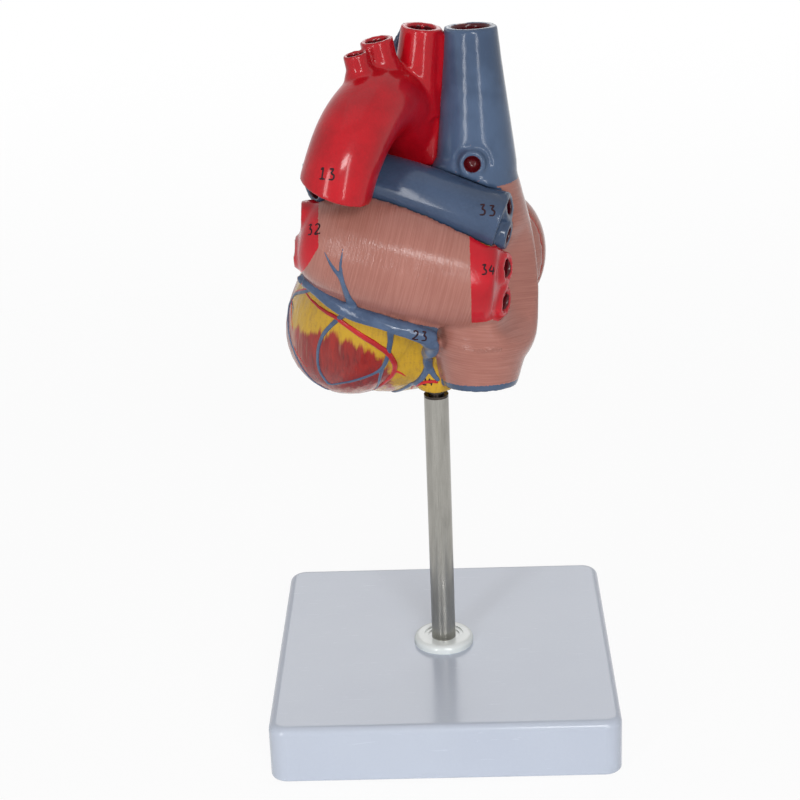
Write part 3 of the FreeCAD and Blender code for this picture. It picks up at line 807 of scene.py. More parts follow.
def crease_patches(corners: np.ndarray, faces: np.ndarray, limit: float) -> np.ndarray:
    """Numbers the smooth patches that sharp creases part.

    Args:
        corners: The mesh's points.
        faces: Its triangles.
        limit: The crease angle in degrees that parts two patches.

    Returns:
        One patch number a triangle.
    """
    sides = corners[faces]
    normals = unit(np.cross(sides[:, 1] - sides[:, 0], sides[:, 2] - sides[:, 0]))
    pairs = np.sort(faces[:, [[0, 1], [1, 2], [2, 0]]].reshape(-1, 2), axis=1)
    owner = np.repeat(np.arange(len(faces)), 3)
    key = pairs[:, 0].astype(np.int64) * len(corners) + pairs[:, 1]
    order = np.argsort(key, kind="stable")
    same = np.nonzero(key[order][1:] == key[order][:-1])[0]
    first, second = owner[order[same]], owner[order[same + 1]]
    flat = (normals[first] * normals[second]).sum(1) > math.cos(math.radians(limit))
    first, second = first[flat], second[flat]
    label = np.arange(len(faces))
    while True:
        low = np.minimum(label[first], label[second])
        before = label.copy()
        np.minimum.at(label, first, low)
        np.minimum.at(label, second, low)
        label = label[label]
        if (label == before).all():
            return label


@dataclass
class Moulding:
    """A moulding made from one solid: meshed evenly, softened and marked with its zones."""

    name: str
    node: str
    body: str
    slot: str
    voxel_mm: float
    softening: int
    seeds: dict[Zone, tuple[Place, ...]]
    rest: Zone
    bores: tuple[Bore, ...] = ()
    fills: tuple[Fill, ...] = ()
    squeezes: tuple[Squeeze, ...] = ()
    merge_mm: float = 0.002
    crease_degrees: float = 18.0
    rim_spread: float = 0.4
    rim_length: float = 3.0
    rim_edge: float = 0.8
    border_softening: int = 4
    piece: bpy.types.Object = field(init=False)
    mesh: Mesh = field(init=False)
    zones: np.ndarray = field(init=False)

    def build(self) -> None:
        """Makes the piece and finds its zones."""
        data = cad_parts[self.node].data.copy()
        self.piece = add_object(self.name, data)
        data.materials.clear()
        select_only(self.piece)
        bpy.ops.object.mode_set(mode="EDIT")
        bpy.ops.mesh.select_all(action="SELECT")
        bpy.ops.mesh.remove_doubles(threshold=self.merge_mm * MM)
        bpy.ops.object.mode_set(mode="OBJECT")
        for squeeze in self.squeezes:
            place_points(self.piece, squeeze.moved(Mesh.of(self.piece).points))
        data.calc_loop_triangles()
        corners = np.empty(len(data.vertices) * 3)
        faces = np.empty(len(data.loop_triangles) * 3, np.int64)
        data.vertices.foreach_get("co", corners)
        data.loop_triangles.foreach_get("vertices", faces)
        corners = corners.reshape(-1, 3) / MM - POST_TOP
        faces = faces.reshape(-1, 3)
        stubs = [bore for bore in self.bores if bore.rim > 0]
        for stub in stubs:
            Fill(stub.foot, stub.top, stub.rim, stub.rim).join(self.piece)
        for fill in self.fills:
            fill.join(self.piece)
        mesh_evenly(self.piece, self.voxel_mm)
        for stub in stubs:
            stub.sink(self.piece)
        if stubs:
            mesh_evenly(self.piece, self.voxel_mm)
        soften(self.piece, self.softening)
        self.mesh = Mesh.of(self.piece)
        self._find_zones(corners, faces)

    def _find_zones(self, corners: np.ndarray, faces: np.ndarray) -> None:
        """Gives each point the zone of the nearest patch of the solid.

        Args:
            corners: The solid's points.
            faces: Its triangles.
        """
        patches = crease_patches(corners, faces, self.crease_degrees)
        tree = BVHTree.FromPolygons(corners.tolist(), faces.tolist())
        zone_of_patch = {}
        for zone, places in self.seeds.items():
            for place in places:
                zone_of_patch[patches[tree.find_nearest(Vector(place))[2]]] = zone.value
        near = np.array([tree.find_nearest(Vector(p))[2] for p in self.mesh.points])
        ids, inverse = np.unique(patches[near], return_inverse=True)
        table = np.array([zone_of_patch.get(i, self.rest.value) for i in ids])
        self.zones = table[inverse]
        for bore in self.bores:
            if bore.rim > 0:
                ring = replace(bore, radius=bore.rim + self.rim_spread, depth=self.rim_length)
                zone = Zone.VEIN if bore is AZYGOS else Zone.ARTERY
                self.zones[ring.inside(self.mesh.points) > -self.rim_edge] = zone.value

    def share(self, *zones: Zone) -> np.ndarray:
        """Gives how much each point belongs to some zones, evened at their borders.

        Args:
            zones: The zones.

        Returns:
            A number from 0 to 1 for each point.
        """
        inside = np.isin(self.zones, [z.value for z in zones]).astype(float)
        return self.mesh.spread(inside, self.border_softening)

    def inside(self, steepness: float, *zones: Zone) -> np.ndarray:
        """Gives how far inside some zones each point is.

        Args:
            steepness: Change over a whole border.
            zones: The zones.

        Returns:
            Above zero inside, below it outside.
        """
        return (self.share(*zones) - 0.5) * steepness

    def borders(self, first: tuple[Zone, ...], second: tuple[Zone, ...]) -> np.ndarray:
        """Finds the places where zones of two kinds meet.

        Args:
            first: Zones on one side.
            second: Zones on the other.

        Returns:
            The places.
        """
        one = np.isin(self.zones, [z.value for z in first])
        two = np.isin(self.zones, [z.value for z in second])
        start, end = self.mesh.edges[:, 0], self.mesh.edges[:, 1]
        across = (one[start] & two[end]) | (two[start] & one[end])
        return self.mesh.points[start[across]]

    def push(self, amounts: np.ndarray) -> None:
        """Moves the surface outwards.

        Args:
            amounts: Millimetres for each point.
        """
        place_points(self.piece, self.mesh.points + self.mesh.normals * amounts[:, None])
        self.mesh = Mesh.of(self.piece)

    def hollow(self) -> np.ndarray:
        """Gives how far each point is inside a bore or a dark lumen, in millimetres."""
        inside = self.inside(2.0, Zone.LUMEN)
        for bore in self.bores:
            inside = np.maximum(inside, bore.inside(self.mesh.points))
        return inside

    def store(self, name: str, values: np.ndarray) -> None:
        """Stores numbers or vectors on the points for the shader.

        Args:
            name: The attribute's name.
            values: One number or one vector a point.
        """
        kind, key = ("FLOAT_VECTOR", "vector") if values.ndim == 2 else ("FLOAT", "value")
        made = self.piece.data.attributes.new(name, kind, "POINT")
        made.data.foreach_set(key, np.ascontiguousarray(values, np.float32).ravel())

    def dress(self, material: bpy.types.Material) -> None:
        """Gives the piece its material and ties it to its body."""
        self.piece.data.materials.append(material)
        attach(self.piece, self.body)
        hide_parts(self.node)
        LOG.info("%s: %d points", self.name, len(self.mesh.points))


@dataclass(frozen=True)
class Fibres:
    """The run of the fine striations in one zone."""

    axis: Place
    across: float
    along: float

    def grain(self, points: np.ndarray) -> np.ndarray:
        """Stretches places so that noise read there runs in lines.

        Args:
            points: Places on the heart.

        Returns:
            The stretched places.
        """
        run = unit(np.array(self.axis))
        side = unit(np.cross(run, (0.31, 0.95, 0.05)))
        third = np.cross(run, side)
        return np.stack([points @ side * self.across, points @ third * self.across,
                         points @ run * self.along], axis=1)


@dataclass(frozen=True)
class Egg:
    """The egg that an atrium's outside follows."""

    tail: Place
    tip: Place
    radius: float
    skew: float = 0.0
    bluntness: float = 0.25

    def outside(self, points: np.ndarray) -> np.ndarray:
        """Measures how far points are outside the egg, square to its axis.

        Args:
            points: Places on the heart.

        Returns:
            Millimetres outside, below zero inside.
        """
        axis = np.array(self.tip) - np.array(self.tail)
        offset = points - np.array(self.tail)
        at = np.clip(offset @ axis / (axis @ axis), 0, 1)
        out = np.linalg.norm(offset - at[:, None] * axis, axis=1)
        lean = 1 - 2 * at
        return out - self.radius * (1 - lean ** 2) ** self.bluntness * (1 + self.skew * lean)


LEFT_EGG = Egg((-50.0, -14.0, 74.5), (34.0, -16.0, 51.5), 23.5)
RIGHT_EGG = Egg((16.0, 2.0, 102.0), (20.0, -7.0, 15.0), 23.0, -0.14)

CHAMBER_RIDGES = Fibres((-0.35, 0.4, -0.85), 0.42, 0.07)
MUSCLE_FIBRES = Fibres((-0.10, 0.36, -0.93), 1.0, 0.075)
ATRIUM_FIBRES = {Zone.LEFT_ATRIUM: Fibres((0.964, -0.023, -0.264), 0.045, 2.5),
                 Zone.RIGHT_ATRIUM: Fibres((0.10, 0.02, 1.0), 0.055, 2.3)}


@dataclass
class PaintedHeart:
    """The heart's rear and front mouldings, sculpted and painted in the same way.

    A Ramp holds where a change starts along an axis, and how far it takes.
    """

    moulding: Moulding
    parting_y: float = 18.1
    parting_ramp: Ramp = (0.0, 2.5)
    chamber_top: float = 62.0
    left_atrium_front: float = 5.0
    left_atrium_end: float = 33.0
    lobe_scale: float = 0.16
    lobe_depth: float = 1.6
    auricle_y: Ramp = (26.0, 7.0)
    auricle_z: Ramp = (82.0, -6.0)
    cava_z: Ramp = (84.0, 12.0)
    cava_top_z: Ramp = (150.0, -50.0)
    cava_least: float = 0.3
    cava_swell: float = 1.1
    ridge_depth: float = 0.9
    outer_swell: float = 0.18
    sinus_sink: float = 0.9
    vein_border_z: float = 90.6
    rim_height: float = 3.4
    rim_centre: tuple[float, float] = (-9.0, 7.5)
    rim_slope: tuple[float, float] = (0.139, 0.990)
    web_share: float = 0.3
    web_corner: tuple[float, float] = (2.0, 76.0)
    left_stubs_x: float = -42.0
    left_stubs_lean: float = 0.6
    left_stubs_z: float = 74.0
    right_stubs_corner: tuple[float, float] = (14.7, 41.3)
    shoulder: tuple[float, float] = (-12.0, 57.0)
    shoulder_slope: float = 0.25
    shoulder_ramp: Ramp = (0.0, 1.5)
    shoulder_end: tuple[float, float] = (-36.0, 24.0)
    behind_y: Ramp = (16.0, -8.0)
    groove_front: float = 6.0
    furrow_front: float = 4.2
    fat_softening: int = 3
    # Where the painted sheen lies: paler muscle at the lower tip and along the left margin of the
    # back.
    sheen_tip_z: Ramp = (8.0, -12.0)
    sheen_flank_x: Ramp = (-50.0, -9.0)
    sheen_flank_most: float = 0.8
    border_bend: int = 7
    border_drop: float = 7.0
    border_pitch: float = 0.8
    muscle_border: tuple[Place, ...] = (
        (-62.0, 8.0, 27.0), (-58.0, 5.0, 28.5), (-55.2, 3.3, 29.4), (-45.7, -8.2, 31.1),
        (-40.2, -12.5, 31.8), (-31.6, -15.8, 29.3), (-23.4, -14.6, 23.7), (-19.8, -10.9, 18.7),
        (-17.6, -5.0, 10.0), (-18.5, 2.0, 4.0), (-22.0, 8.0, -1.0), (-26.0, 16.0, -4.0))

    def build(self, material: bpy.types.Material) -> None:
        """Makes, sculpts and paints the moulding.

        Args:
            material: The heart's paint.
        """
        self.moulding.build()
        self._part_atria()
        self._sculpt()
        self._paint_fibres()
        self._paint_zones()
        self.moulding.dress(material)

    def _part_atria(self) -> None:
        """Parts the two atria, which run into each other without a crease near one end."""
        part = self.moulding
        points = part.mesh.points
        atria = np.isin(part.zones, [Zone.LEFT_ATRIUM.value, Zone.RIGHT_ATRIUM.value])
        left = LEFT_EGG.outside(points) < RIGHT_EGG.outside(points)
        left &= (points[:, 1] < self.left_atrium_front) & (points[:, 0] < self.left_atrium_end)
        part.zones[atria] = np.where(left, Zone.LEFT_ATRIUM.value,
                                     Zone.RIGHT_ATRIUM.value)[atria]

    def _sculpt(self) -> None:
        """Adds lobes to the auricle, ridges to the chambers and slight swells outside."""
        part = self.moulding
        points = part.mesh.points
        y, z = points[:, 1], points[:, 2]
        ridges = np.array([noise.noise(Vector(p)) for p in CHAMBER_RIDGES.grain(points)])
        lobes = np.array([noise.noise(Vector(p * self.lobe_scale)) for p in points])
        atrium = part.share(Zone.RIGHT_ATRIUM)
        auricle = atrium * ramp(y, *self.auricle_y) * ramp(z, *self.auricle_z)
        cava = atrium * ramp(z, *self.cava_z)
        cava *= np.maximum(ramp(z, *self.cava_top_z), self.cava_least)
        low = z < self.chamber_top
        off_parting = ramp(np.abs(y - self.parting_y), *self.parting_ramp)
        tube = part.share(Zone.VEIN) * low
        inner = part.share(Zone.INNER) * low * off_parting
        outer = part.share(*VENTRICLES) * off_parting
        part.push(auricle * lobes * self.lobe_depth + cava * self.cava_swell
                  - tube * self.sinus_sink + inner * ridges * self.ridge_depth
                  + outer * ridges * self.outer_swell)

    def _paint_fibres(self) -> None:
        """Stores the run of the striations."""
        part = self.moulding
        points = part.mesh.points
        grain = MUSCLE_FIBRES.grain(points)
        for zone, fibres in ATRIUM_FIBRES.items():
            inside = part.zones == zone.value
            grain[inside] = fibres.grain(points)[inside]
        part.store("grain", grain)

    def _paint_zones(self) -> None:
        """Stores where each colour of paint is, with the painted sheen and the painted shade in
        the holes.
        """
        part = self.moulding
        points = part.mesh.points
        x, y, z = points.T
        veins = part.inside(2.0, Zone.VEIN)
        cut_plane = (self.rim_slope[0] * (y - self.rim_centre[0])
                     + self.rim_slope[1] * (z - self.rim_centre[1]))
        caval = np.maximum(z - self.vein_border_z, self.rim_height - cut_plane)
        in_right = part.inside(4.0, Zone.RIGHT_ATRIUM)
        web = np.minimum((part.share(*VENTRICLES) - self.web_share) * 4.0,
                         np.minimum(z - self.web_corner[1], x - self.web_corner[0]))
        part.store("blue", np.maximum(np.maximum(veins, web), np.minimum(in_right, caval)))
        left_edge = (self.left_stubs_x
                     - self.left_stubs_lean * np.maximum(0.0, self.left_stubs_z - z) - x)
        right_edge = np.minimum(x - self.right_stubs_corner[0], z - self.right_stubs_corner[1])
        in_left = part.inside(4.0, Zone.LEFT_ATRIUM)
        stubs = part.inside(2.0, Zone.ARTERY)
        part.store("red", np.maximum(stubs, np.minimum(in_left,
                                                       np.maximum(left_edge, right_edge))))
        above = ramp(z - self.shoulder[1] - self.shoulder_slope * (y - self.shoulder[0]),
                     *self.shoulder_ramp)
        above *= (x < self.shoulder_end[0]) * (y < self.shoulder_end[1])
        part.store("ventricle", part.share(*VENTRICLES) * (1.0 - above))
        part.store("inner", part.share(Zone.INNER))
        part.store("cut", part.share(Zone.CUT))
        # Where the painted shade inside bores and openings goes.
        part.store("lumen", part.hollow())
        groove = nearest_distance(points, part.borders(VENTRICLES, UPPER_ZONES))
        furrow = nearest_distance(points, part.borders((Zone.LEFT_VENTRICLE,),
                                                       (Zone.RIGHT_VENTRICLE,)))
        behind = ramp(y, *self.behind_y)
        fat = np.maximum(self.groove_front - groove, self.furrow_front - furrow)
        fat = fat * (1.0 - behind) + self._outside_muscle(points) * behind
        part.store("fat", part.mesh.spread(fat, self.fat_softening))
        # Painted sheen at the lower tip, and along the left margin at the back.
        flank = np.minimum(ramp(x, *self.sheen_flank_x), self.sheen_flank_most)
        part.store("pale", np.maximum(ramp(z, *self.sheen_tip_z), flank * behind))

    def _outside_muscle(self, points: np.ndarray) -> np.ndarray:
        """Measures how far points at the back are outside the left ventricle's muscle.

        Args:
            points: Places on the heart.

        Returns:
            Millimetres outside the muscle's painted border, below zero inside it.
        """
        border = np.array(self.muscle_border)
        upper, bend = border[:self.border_bend + 1], border[self.border_bend]
        past = points[:, 0] - bend[0]
        level = np.interp(points[:, 0], upper[:, 0], upper[:, 2])
        level = np.where(past > 0, bend[2] - self.border_drop * past, level)
        away = nearest_distance(points, flowing_line(border, self.border_pitch))
        return np.where(points[:, 2] > level, away, -away)


# ---- raised vessels and ink ----------------------------------------------------------------
@dataclass(frozen=True)
class Vessel:
    """One raised vessel: its route on the surface and its width from start to end."""

    route: tuple[Place, ...]
    width: tuple[float, ...]
    rise: float = 0.30


@dataclass
class Surface:
    """The outside of some pieces, to lay things on."""

    pieces: tuple[bpy.types.Object, ...]
    passes: int = 3
    turn_softening: int = 30
    tree: BVHTree = field(init=False)

    def __post_init__(self) -> None:
        """Gathers the pieces' faces."""
        points, faces = [], []
        for piece in self.pieces:
            start = len(points)
            points += Mesh.of(piece).points.tolist()
            faces += [[start + v for v in p.vertices] for p in piece.data.polygons]
        self.tree = BVHTree.FromPolygons(points, faces)

    def lay(self, line: np.ndarray) -> tuple[np.ndarray, np.ndarray]:
        """Lays a line on the surface.

        Args:
            line: The line's samples.

        Returns:
            The places and the surface's directions outwards there.
        """
        places, outward = line.copy(), np.zeros_like(line)
        for _ in range(self.passes):
            for i, sample in enumerate(places):
                places[i], outward[i] = self.tree.find_nearest(Vector(sample))[:2]
            if len(places) > 4:
                ease(places)
        for _ in range(self.turn_softening):
            ease(outward)
        return places, unit(outward)


@dataclass
class Relief:
    """Raised vessels or pen strokes on a surface, joined into one piece."""

    name: str
    body: str
    slot: str
    surface: Surface
    voxel_mm: float = 0.34
    pitch: float = 0.7
    sunk: float = 0.45
    ring: int = 14
    softening: int = 3
    least_rise: float = 0.12
    least_taper: float = 0.01

    def build(self, vessels: tuple[Vessel, ...],
              material: bpy.types.Material) -> bpy.types.Object:
        """Sweeps every vessel, joins them and gives them their paint.

        Args:
            vessels: The vessels.
            material: Their paint.

        Returns:
            The piece.
        """
        points, faces = [], []
        for vessel in vessels:
            made, skin = self._sweep(vessel)
            faces += [[len(points) + v for v in face] for face in skin]
            points += made.tolist()
        data = bpy.data.meshes.new(self.name)
        data.from_pydata([(Vector(p) + Vector(POST_TOP)) * MM for p in points], [], faces)
        piece = add_object(self.name, data)
        mesh_evenly(piece, self.voxel_mm)
        soften(piece, self.softening)
        piece.data.materials.append(material)
        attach(piece, self.body)
        LOG.info("%s: %d vessels, %d points", self.name, len(vessels),
                 len(piece.data.vertices))
        return piece

    def _sweep(self, vessel: Vessel) -> tuple[np.ndarray, list[list[int]]]:
        """Sweeps one vessel's flattened section along its line.

        Args:
            vessel: The vessel.

        Returns:
            Its points and faces.
        """
        line = flowing_line(np.array(vessel.route), self.pitch)
        places, outward = self.surface.lay(line)
        along = unit(np.gradient(places, axis=0))
        side = unit(np.cross(along, outward))
        at = np.linspace(0, 1, len(places))
        width = np.interp(at, np.linspace(0, 1, len(vessel.width)), vessel.width)
        reach = np.linalg.norm(np.diff(places, axis=0), axis=1).sum()
        from_end = np.minimum(at, 1 - at) * reach
        short = 1 - np.clip(from_end / (0.5 * width), 0, 1)
        taper = np.sqrt(np.clip(1 - short ** 2, self.least_taper, 1))
        width = width * taper
        turn = np.linspace(0, 2 * math.pi, self.ring, endpoint=False)
        points = []
        for place, out, across, wide in zip(places, outward, side, width):
            high = max(wide * vessel.rise, self.least_rise)
            low = min(self.sunk, 0.5 * wide)
            for angle in turn:
                lift = math.sin(angle) * (high if math.sin(angle) > 0 else low)
                points.append(place + across * (0.5 * wide * math.cos(angle)) + out * lift)
        faces = []
        for i in range(len(places) - 1):
            for j in range(self.ring):
                k = (j + 1) % self.ring
                faces.append([i * self.ring + j, i * self.ring + k,
                              (i + 1) * self.ring + k, (i + 1) * self.ring + j])
        last = (len(places) - 1) * self.ring
        faces.append(list(range(self.ring))[::-1])
        faces.append([last + j for j in range(self.ring)])
        return np.array(points), faces


DIGITS = {
    "1": (((0.20, 0.78), (0.48, 1.0), (0.46, 0.0)), ((0.12, 0.02), (0.86, 0.04))),
    "2": (((0.10, 0.80), (0.38, 1.0), (0.72, 0.80), (0.52, 0.42), (0.10, 0.04), (0.40, 0.02),
           (0.90, 0.10)),),
    "3": (((0.12, 0.92), (0.62, 0.98), (0.40, 0.60), (0.74, 0.44), (0.66, 0.08),
           (0.14, 0.04)),),
    "4": (((0.46, 1.0), (0.08, 0.42), (0.50, 0.40), (0.96, 0.46)), ((0.74, 0.84), (0.60, 0.0))),
}


@dataclass(frozen=True)
class Number:
    """A handwritten index number on a surface."""

    text: str
    centre: Place
    height: float = 4.2
    slant: float = 0.0
    width_share: float = 0.78
    spacing: float = 1.08
    pen: tuple[float, ...] = (0.76, 0.86, 0.70)
    pen_rise: float = 0.15

    def strokes(self, surface: Surface) -> tuple[Vessel, ...]:
        """Draws the number's pen strokes as thin raised lines.

        Args:
            surface: What it is written on.

        Returns:
            The strokes.
        """
        centre, outward = surface.lay(np.array([self.centre] * 2))
        out = outward[0]
        right = unit(np.array([1.0, 0.0, 0.0]) - out * out[0])
        up = np.cross(out, right)
        turn = math.radians(self.slant)
        right, up = (right * math.cos(turn) + up * math.sin(turn),
                     up * math.cos(turn) - right * math.sin(turn))
        width = self.width_share * self.height
        drawn = []
        for i, digit in enumerate(self.text):
            left = (i - len(self.text) / 2) * width * self.spacing
            for stroke in DIGITS[digit]:
                route = [tuple(centre[0] + right * (left + u * width)
                               + up * ((v - 0.5) * self.height)) for u, v in stroke]
                drawn.append(Vessel(tuple(route), self.pen, self.pen_rise))
        return tuple(drawn)


# ---- the heart's parts ---------------------------------------------------------------------
AZYGOS = Bore((17.0, -8.0, 99.1), (16.5, -15.3, 99.5), 3.0, 4.0, 5.2)
LEFT_VEIN_BORES = (Bore((-37, -14, 80), (-49.6, -14.5, 81), 4.2),
                   Bore((-38, -14, 66), (-53.0, -14.5, 67), 4.2))
RIGHT_VEIN_BORES = (Bore((17.0, -18.0, 60.2), (29.4, -23.2, 60.6), 3.3, 5.0, 6.3),
                    Bore((16.4, -18.0, 47.6), (28.5, -23.2, 47.0), 3.3, 5.0, 6.3))
BRANCH_BORES = (Bore((-23.6, -13.5, 131.0), (-25.9, -14.0, 143.0), 3.1, 6.0, 4.8),
                Bore((-16.2, -5.5, 134.0), (-18.2, -6.0, 146.4), 4.1, 6.0, 6.3),
                Bore((-2.9, 4.45, 134.0), (-1.2, 4.0, 148.8), 5.2, 6.0, 7.9))
LUNG_BORES = (Bore((20, -17, 83), (30.3, -20.3, 84), 3.0),
              Bore((20, -18, 75), (29.8, -20.9, 72.8), 3.0))

REAR_WALL = Moulding(
    "rear_moulding", "heart_rear_wall", "heart", "painted_heart", 0.96, 5,
    {Zone.RIGHT_ATRIUM: ((35.6, -5.7, 83.3), (41.3, 12.5, 54.2), (4.9, 29.4, 69.8)),
     Zone.LEFT_VENTRICLE: ((-36.2, -17.0, 48.4),),
     Zone.LEFT_ATRIUM: ((-16.0, -38.1, 64.2),),
     Zone.RIGHT_VENTRICLE: ((1.7, 6.2, 3.9), (6.7, -4.6, 16.3), (2.4, -5.5, 4.0),
                            (-6.2, 38.9, 72.0), (-10.1, 41.5, 72.3), (-34.1, 30.9, 68.1)),
     Zone.VEIN: ((-0.6, 19.4, 126.3), (-5.9, 23.4, 139.1), (-11.0, 28.7, 141.4),
                 (-24.3, -24.0, 42.6), (0.0, -23.5, 33.8), (20.5, -3.3, 148.9),
                 (15.4, -13.4, 104.4), (16.5, -14.4, 102.9), (26.1, -19.5, 9.0)),
     Zone.ARTERY: ((-53.0, -9.1, 63.7), (-53.3, -15.3, 62.2), (-49.2, -16.1, 85.5)),
     Zone.LUMEN: ((25.3, 5.9, 121.7), (16.6, -12.4, 102.1), (24.8, -19.6, 13.9),
                  (-47.3, -13.9, 85.0), (-51.5, -11.1, 64.4), (-6.0, 24.1, 142.5)),
     Zone.CUT: ((-3.5, 18.0, 25.2), (-12.0, 29.0, 62.5), (12.0, 24.1, 69.3))},
    Zone.INNER, (AZYGOS, *LEFT_VEIN_BORES, *RIGHT_VEIN_BORES),
    fills=(Fill((-11.0, -27.6, 39.4), (1.4, -25.4, 33.8), 3.4, 3.6),
           Fill((0.6, -26.4, 33.6), (-2.2, -12.6, 22.0), 2.4, 1.4)),
    squeezes=(Squeeze((33.0, -18.0, 52.0), 26.0, 19.0, 0.55),))

FRONT_WALL = Moulding(
    "front_moulding", "front_wall", "front", "painted_heart", 0.72, 7,
    {Zone.RIGHT_VENTRICLE: ((-1.3, 54.9, 18.6), (-24.4, 48.6, 59.1)),
     Zone.LEFT_VENTRICLE: ((-56.2, 35.5, 29.5),),
     Zone.RIGHT_ATRIUM: ((38.2, 37.6, 58.9), (16.7, 19.7, 76.5)),
     Zone.CUT: ((-2.3, 18.2, 27.7), (-12.2, 28.8, 62.3), (12.2, 24.6, 69.3))},
    Zone.INNER)

AORTA = Moulding(
    "aorta_moulding", "aorta", "heart", "artery_red", 0.55, 12,
    {Zone.LUMEN: ((-15.8, -3.9, 109.2), (3.0, 3.3, 144.3), (-21.5, -6.3, 143.8),
                  (-24.7, -16.9, 139.0)),
     Zone.INNER: ((-3.0, 4.8, 143.0), (-18.0, -5.6, 140.4), (-25.0, -13.0, 137.1))},
    Zone.ARTERY, BRANCH_BORES,
    (Fill((0.0, 5.0, 96.0), (5.3, 4.0, 146.4), 6.4, 3.8),
     Fill((-22.4, -13.2, 123.0), (-24.6, -13.7, 136.6), 10.4, 5.4),
     Fill((-15.2, -5.3, 126.0), (-17.1, -5.7, 139.8), 10.6, 6.2),
     Fill((-5.0, 5.0, 116.0), (-2.2, 4.2, 141.0), 11.6, 7.0)))

LUNG_ARTERIES = Moulding(
    "pulmonary_moulding", "pulmonary_arteries", "heart", "pulmonary_blue", 0.55, 6,
    {Zone.LUMEN: ((-18.7, 3.0, 88.9), (26.9, -18.9, 76.4), (26.1, -19.7, 86.5),
                  (21.4, -17.6, 78.5))},
    Zone.VEIN, LUNG_BORES)


@dataclass
class GreatVessel:
    """A great vessel's moulding with its dark lumen, partly painted shade."""

    moulding: Moulding
    floor_mm: float = 1.4
    inside_mm: float = 0.4

    def build(self, enamel: Enamel) -> None:
        """Makes and paints the vessel.

        Args:
            enamel: Its colour.
        """
        part = self.moulding
        part.build()
        # Where the painted shade inside the holes goes.
        part.store("lumen", part.hollow())
        floor = np.zeros(len(part.mesh.points))
        for bore in part.bores:
            top = np.array(bore.top)
            along = unit(top - np.array(bore.foot))
            sunk = -((part.mesh.points - top) @ along)
            floor = np.maximum(floor, np.clip(sunk - bore.depth + self.floor_mm, 0, 1)
                               * (bore.inside(part.mesh.points) > self.inside_mm))
        part.store("floor", floor)
        part.dress(enamel.material())


REAR_VEINS = (
    Vessel(((-50.6, -15.8, 56.0), (-44.5, -21.8, 52.6), (-38.7, -25.5, 49.3),
            (-33.6, -27.6, 46.9), (-28.5, -29.0, 45.3), (-22.1, -29.9, 43.8),
            (-15.8, -30.3, 41.7), (-9.5, -30.4, 39.2), (-3.2, -29.3, 36.0), (0.8, -27.6, 33.4)),
           (3.4, 4.6, 5.6, 6.0, 6.2, 6.6, 6.8)),
    Vessel(((-1.6, -28.8, 35.0), (-1.4, -22.0, 28.5), (-2.2, -13.0, 23.0), (-2.8, -10.2, 18.6),
            (-2.4, -8.2, 14.5)), (8.6, 7.8, 6.0, 4.4, 3.8)),
    Vessel(((-2.6, -9.4, 16.2), (-0.5, -8.1, 11.8), (1.8, -8.0, 9.6)), (3.2, 2.6, 2.0)),
    Vessel(((-2.7, -9.7, 17.0), (-4.0, -7.2, 12.8), (-7.0, -4.6, 8.2), (-11.3, 4.0, 2.4),
            (-17.0, 15.0, -3.0), (-24.0, 27.0, -4.5), (-30.0, 35.0, -3.0)),
           (3.0, 2.7, 2.2, 1.9, 1.6, 1.0)),
    Vessel(((-48.8, -18.6, 54.4), (-52.5, -8.0, 49.5), (-54.7, 7.5, 42.8), (-57.4, 13.2, 38.1),
            (-58.8, 16.1, 34.3), (-59.3, 13.1, 28.9), (-58.6, 10.4, 22.7), (-56.6, 8.3, 16.2),
            (-53.3, 8.5, 8.8), (-48.9, 9.7, 3.1), (-43.6, 9.9, -0.1)), (2.0, 1.7, 1.5, 1.4, 1.1)),
    Vessel(((-56.8, 11.2, 38.8), (-56.6, 7.9, 35.7), (-56.8, 6.7, 31.1)), (1.1, 0.8, 0.4)),
    Vessel(((-30.8, -28.2, 45.5), (-31.6, -28.6, 50.5), (-32.6, -31.9, 56.0),
            (-34.1, -34.3, 62.1), (-36.7, -34.3, 66.2), (-38.8, -33.9, 70.0),
            (-39.9, -33.2, 72.8)), (5.4, 3.2, 2.3, 1.7, 0.5)),
    Vessel(((-33.2, -33.4, 60.4), (-34.0, -35.3, 67.1), (-33.2, -35.4, 71.6),
            (-32.7, -34.8, 74.6)), (1.9, 1.5, 1.1, 0.4)),
    Vessel(((-33.2, -27.6, 47.2), (-35.6, -24.0, 43.6), (-39.9, -13.6, 36.4),
            (-43.7, -9.8, 31.0), (-46.1, -6.1, 24.1), (-46.9, -2.6, 17.1), (-46.2, 0.3, 11.0),
            (-44.2, 2.6, 6.4), (-42.9, 3.4, 4.8)), (4.2, 2.2, 1.8, 1.6, 1.5)),
    Vessel(((-42.9, 3.4, 4.8), (-38.0, -0.3, 6.8), (-33.1, -2.9, 8.6), (-28.2, -5.4, 11.2),
            (-23.7, -7.2, 13.5), (-20.9, -9.2, 16.3), (-18.8, -12.9, 21.5),
            (-17.7, -16.5, 27.0), (-16.9, -19.2, 32.2), (-15.9, -28.0, 40.0)),
           (1.2, 1.5, 1.8, 2.2, 2.5, 4.2)),
    Vessel(((-21.0, -8.9, 15.9), (-22.5, -2.6, 9.2), (-24.1, 6.3, 2.0), (-27.0, 14.0, -2.0)),
           (1.9, 1.3, 0.6)),
)

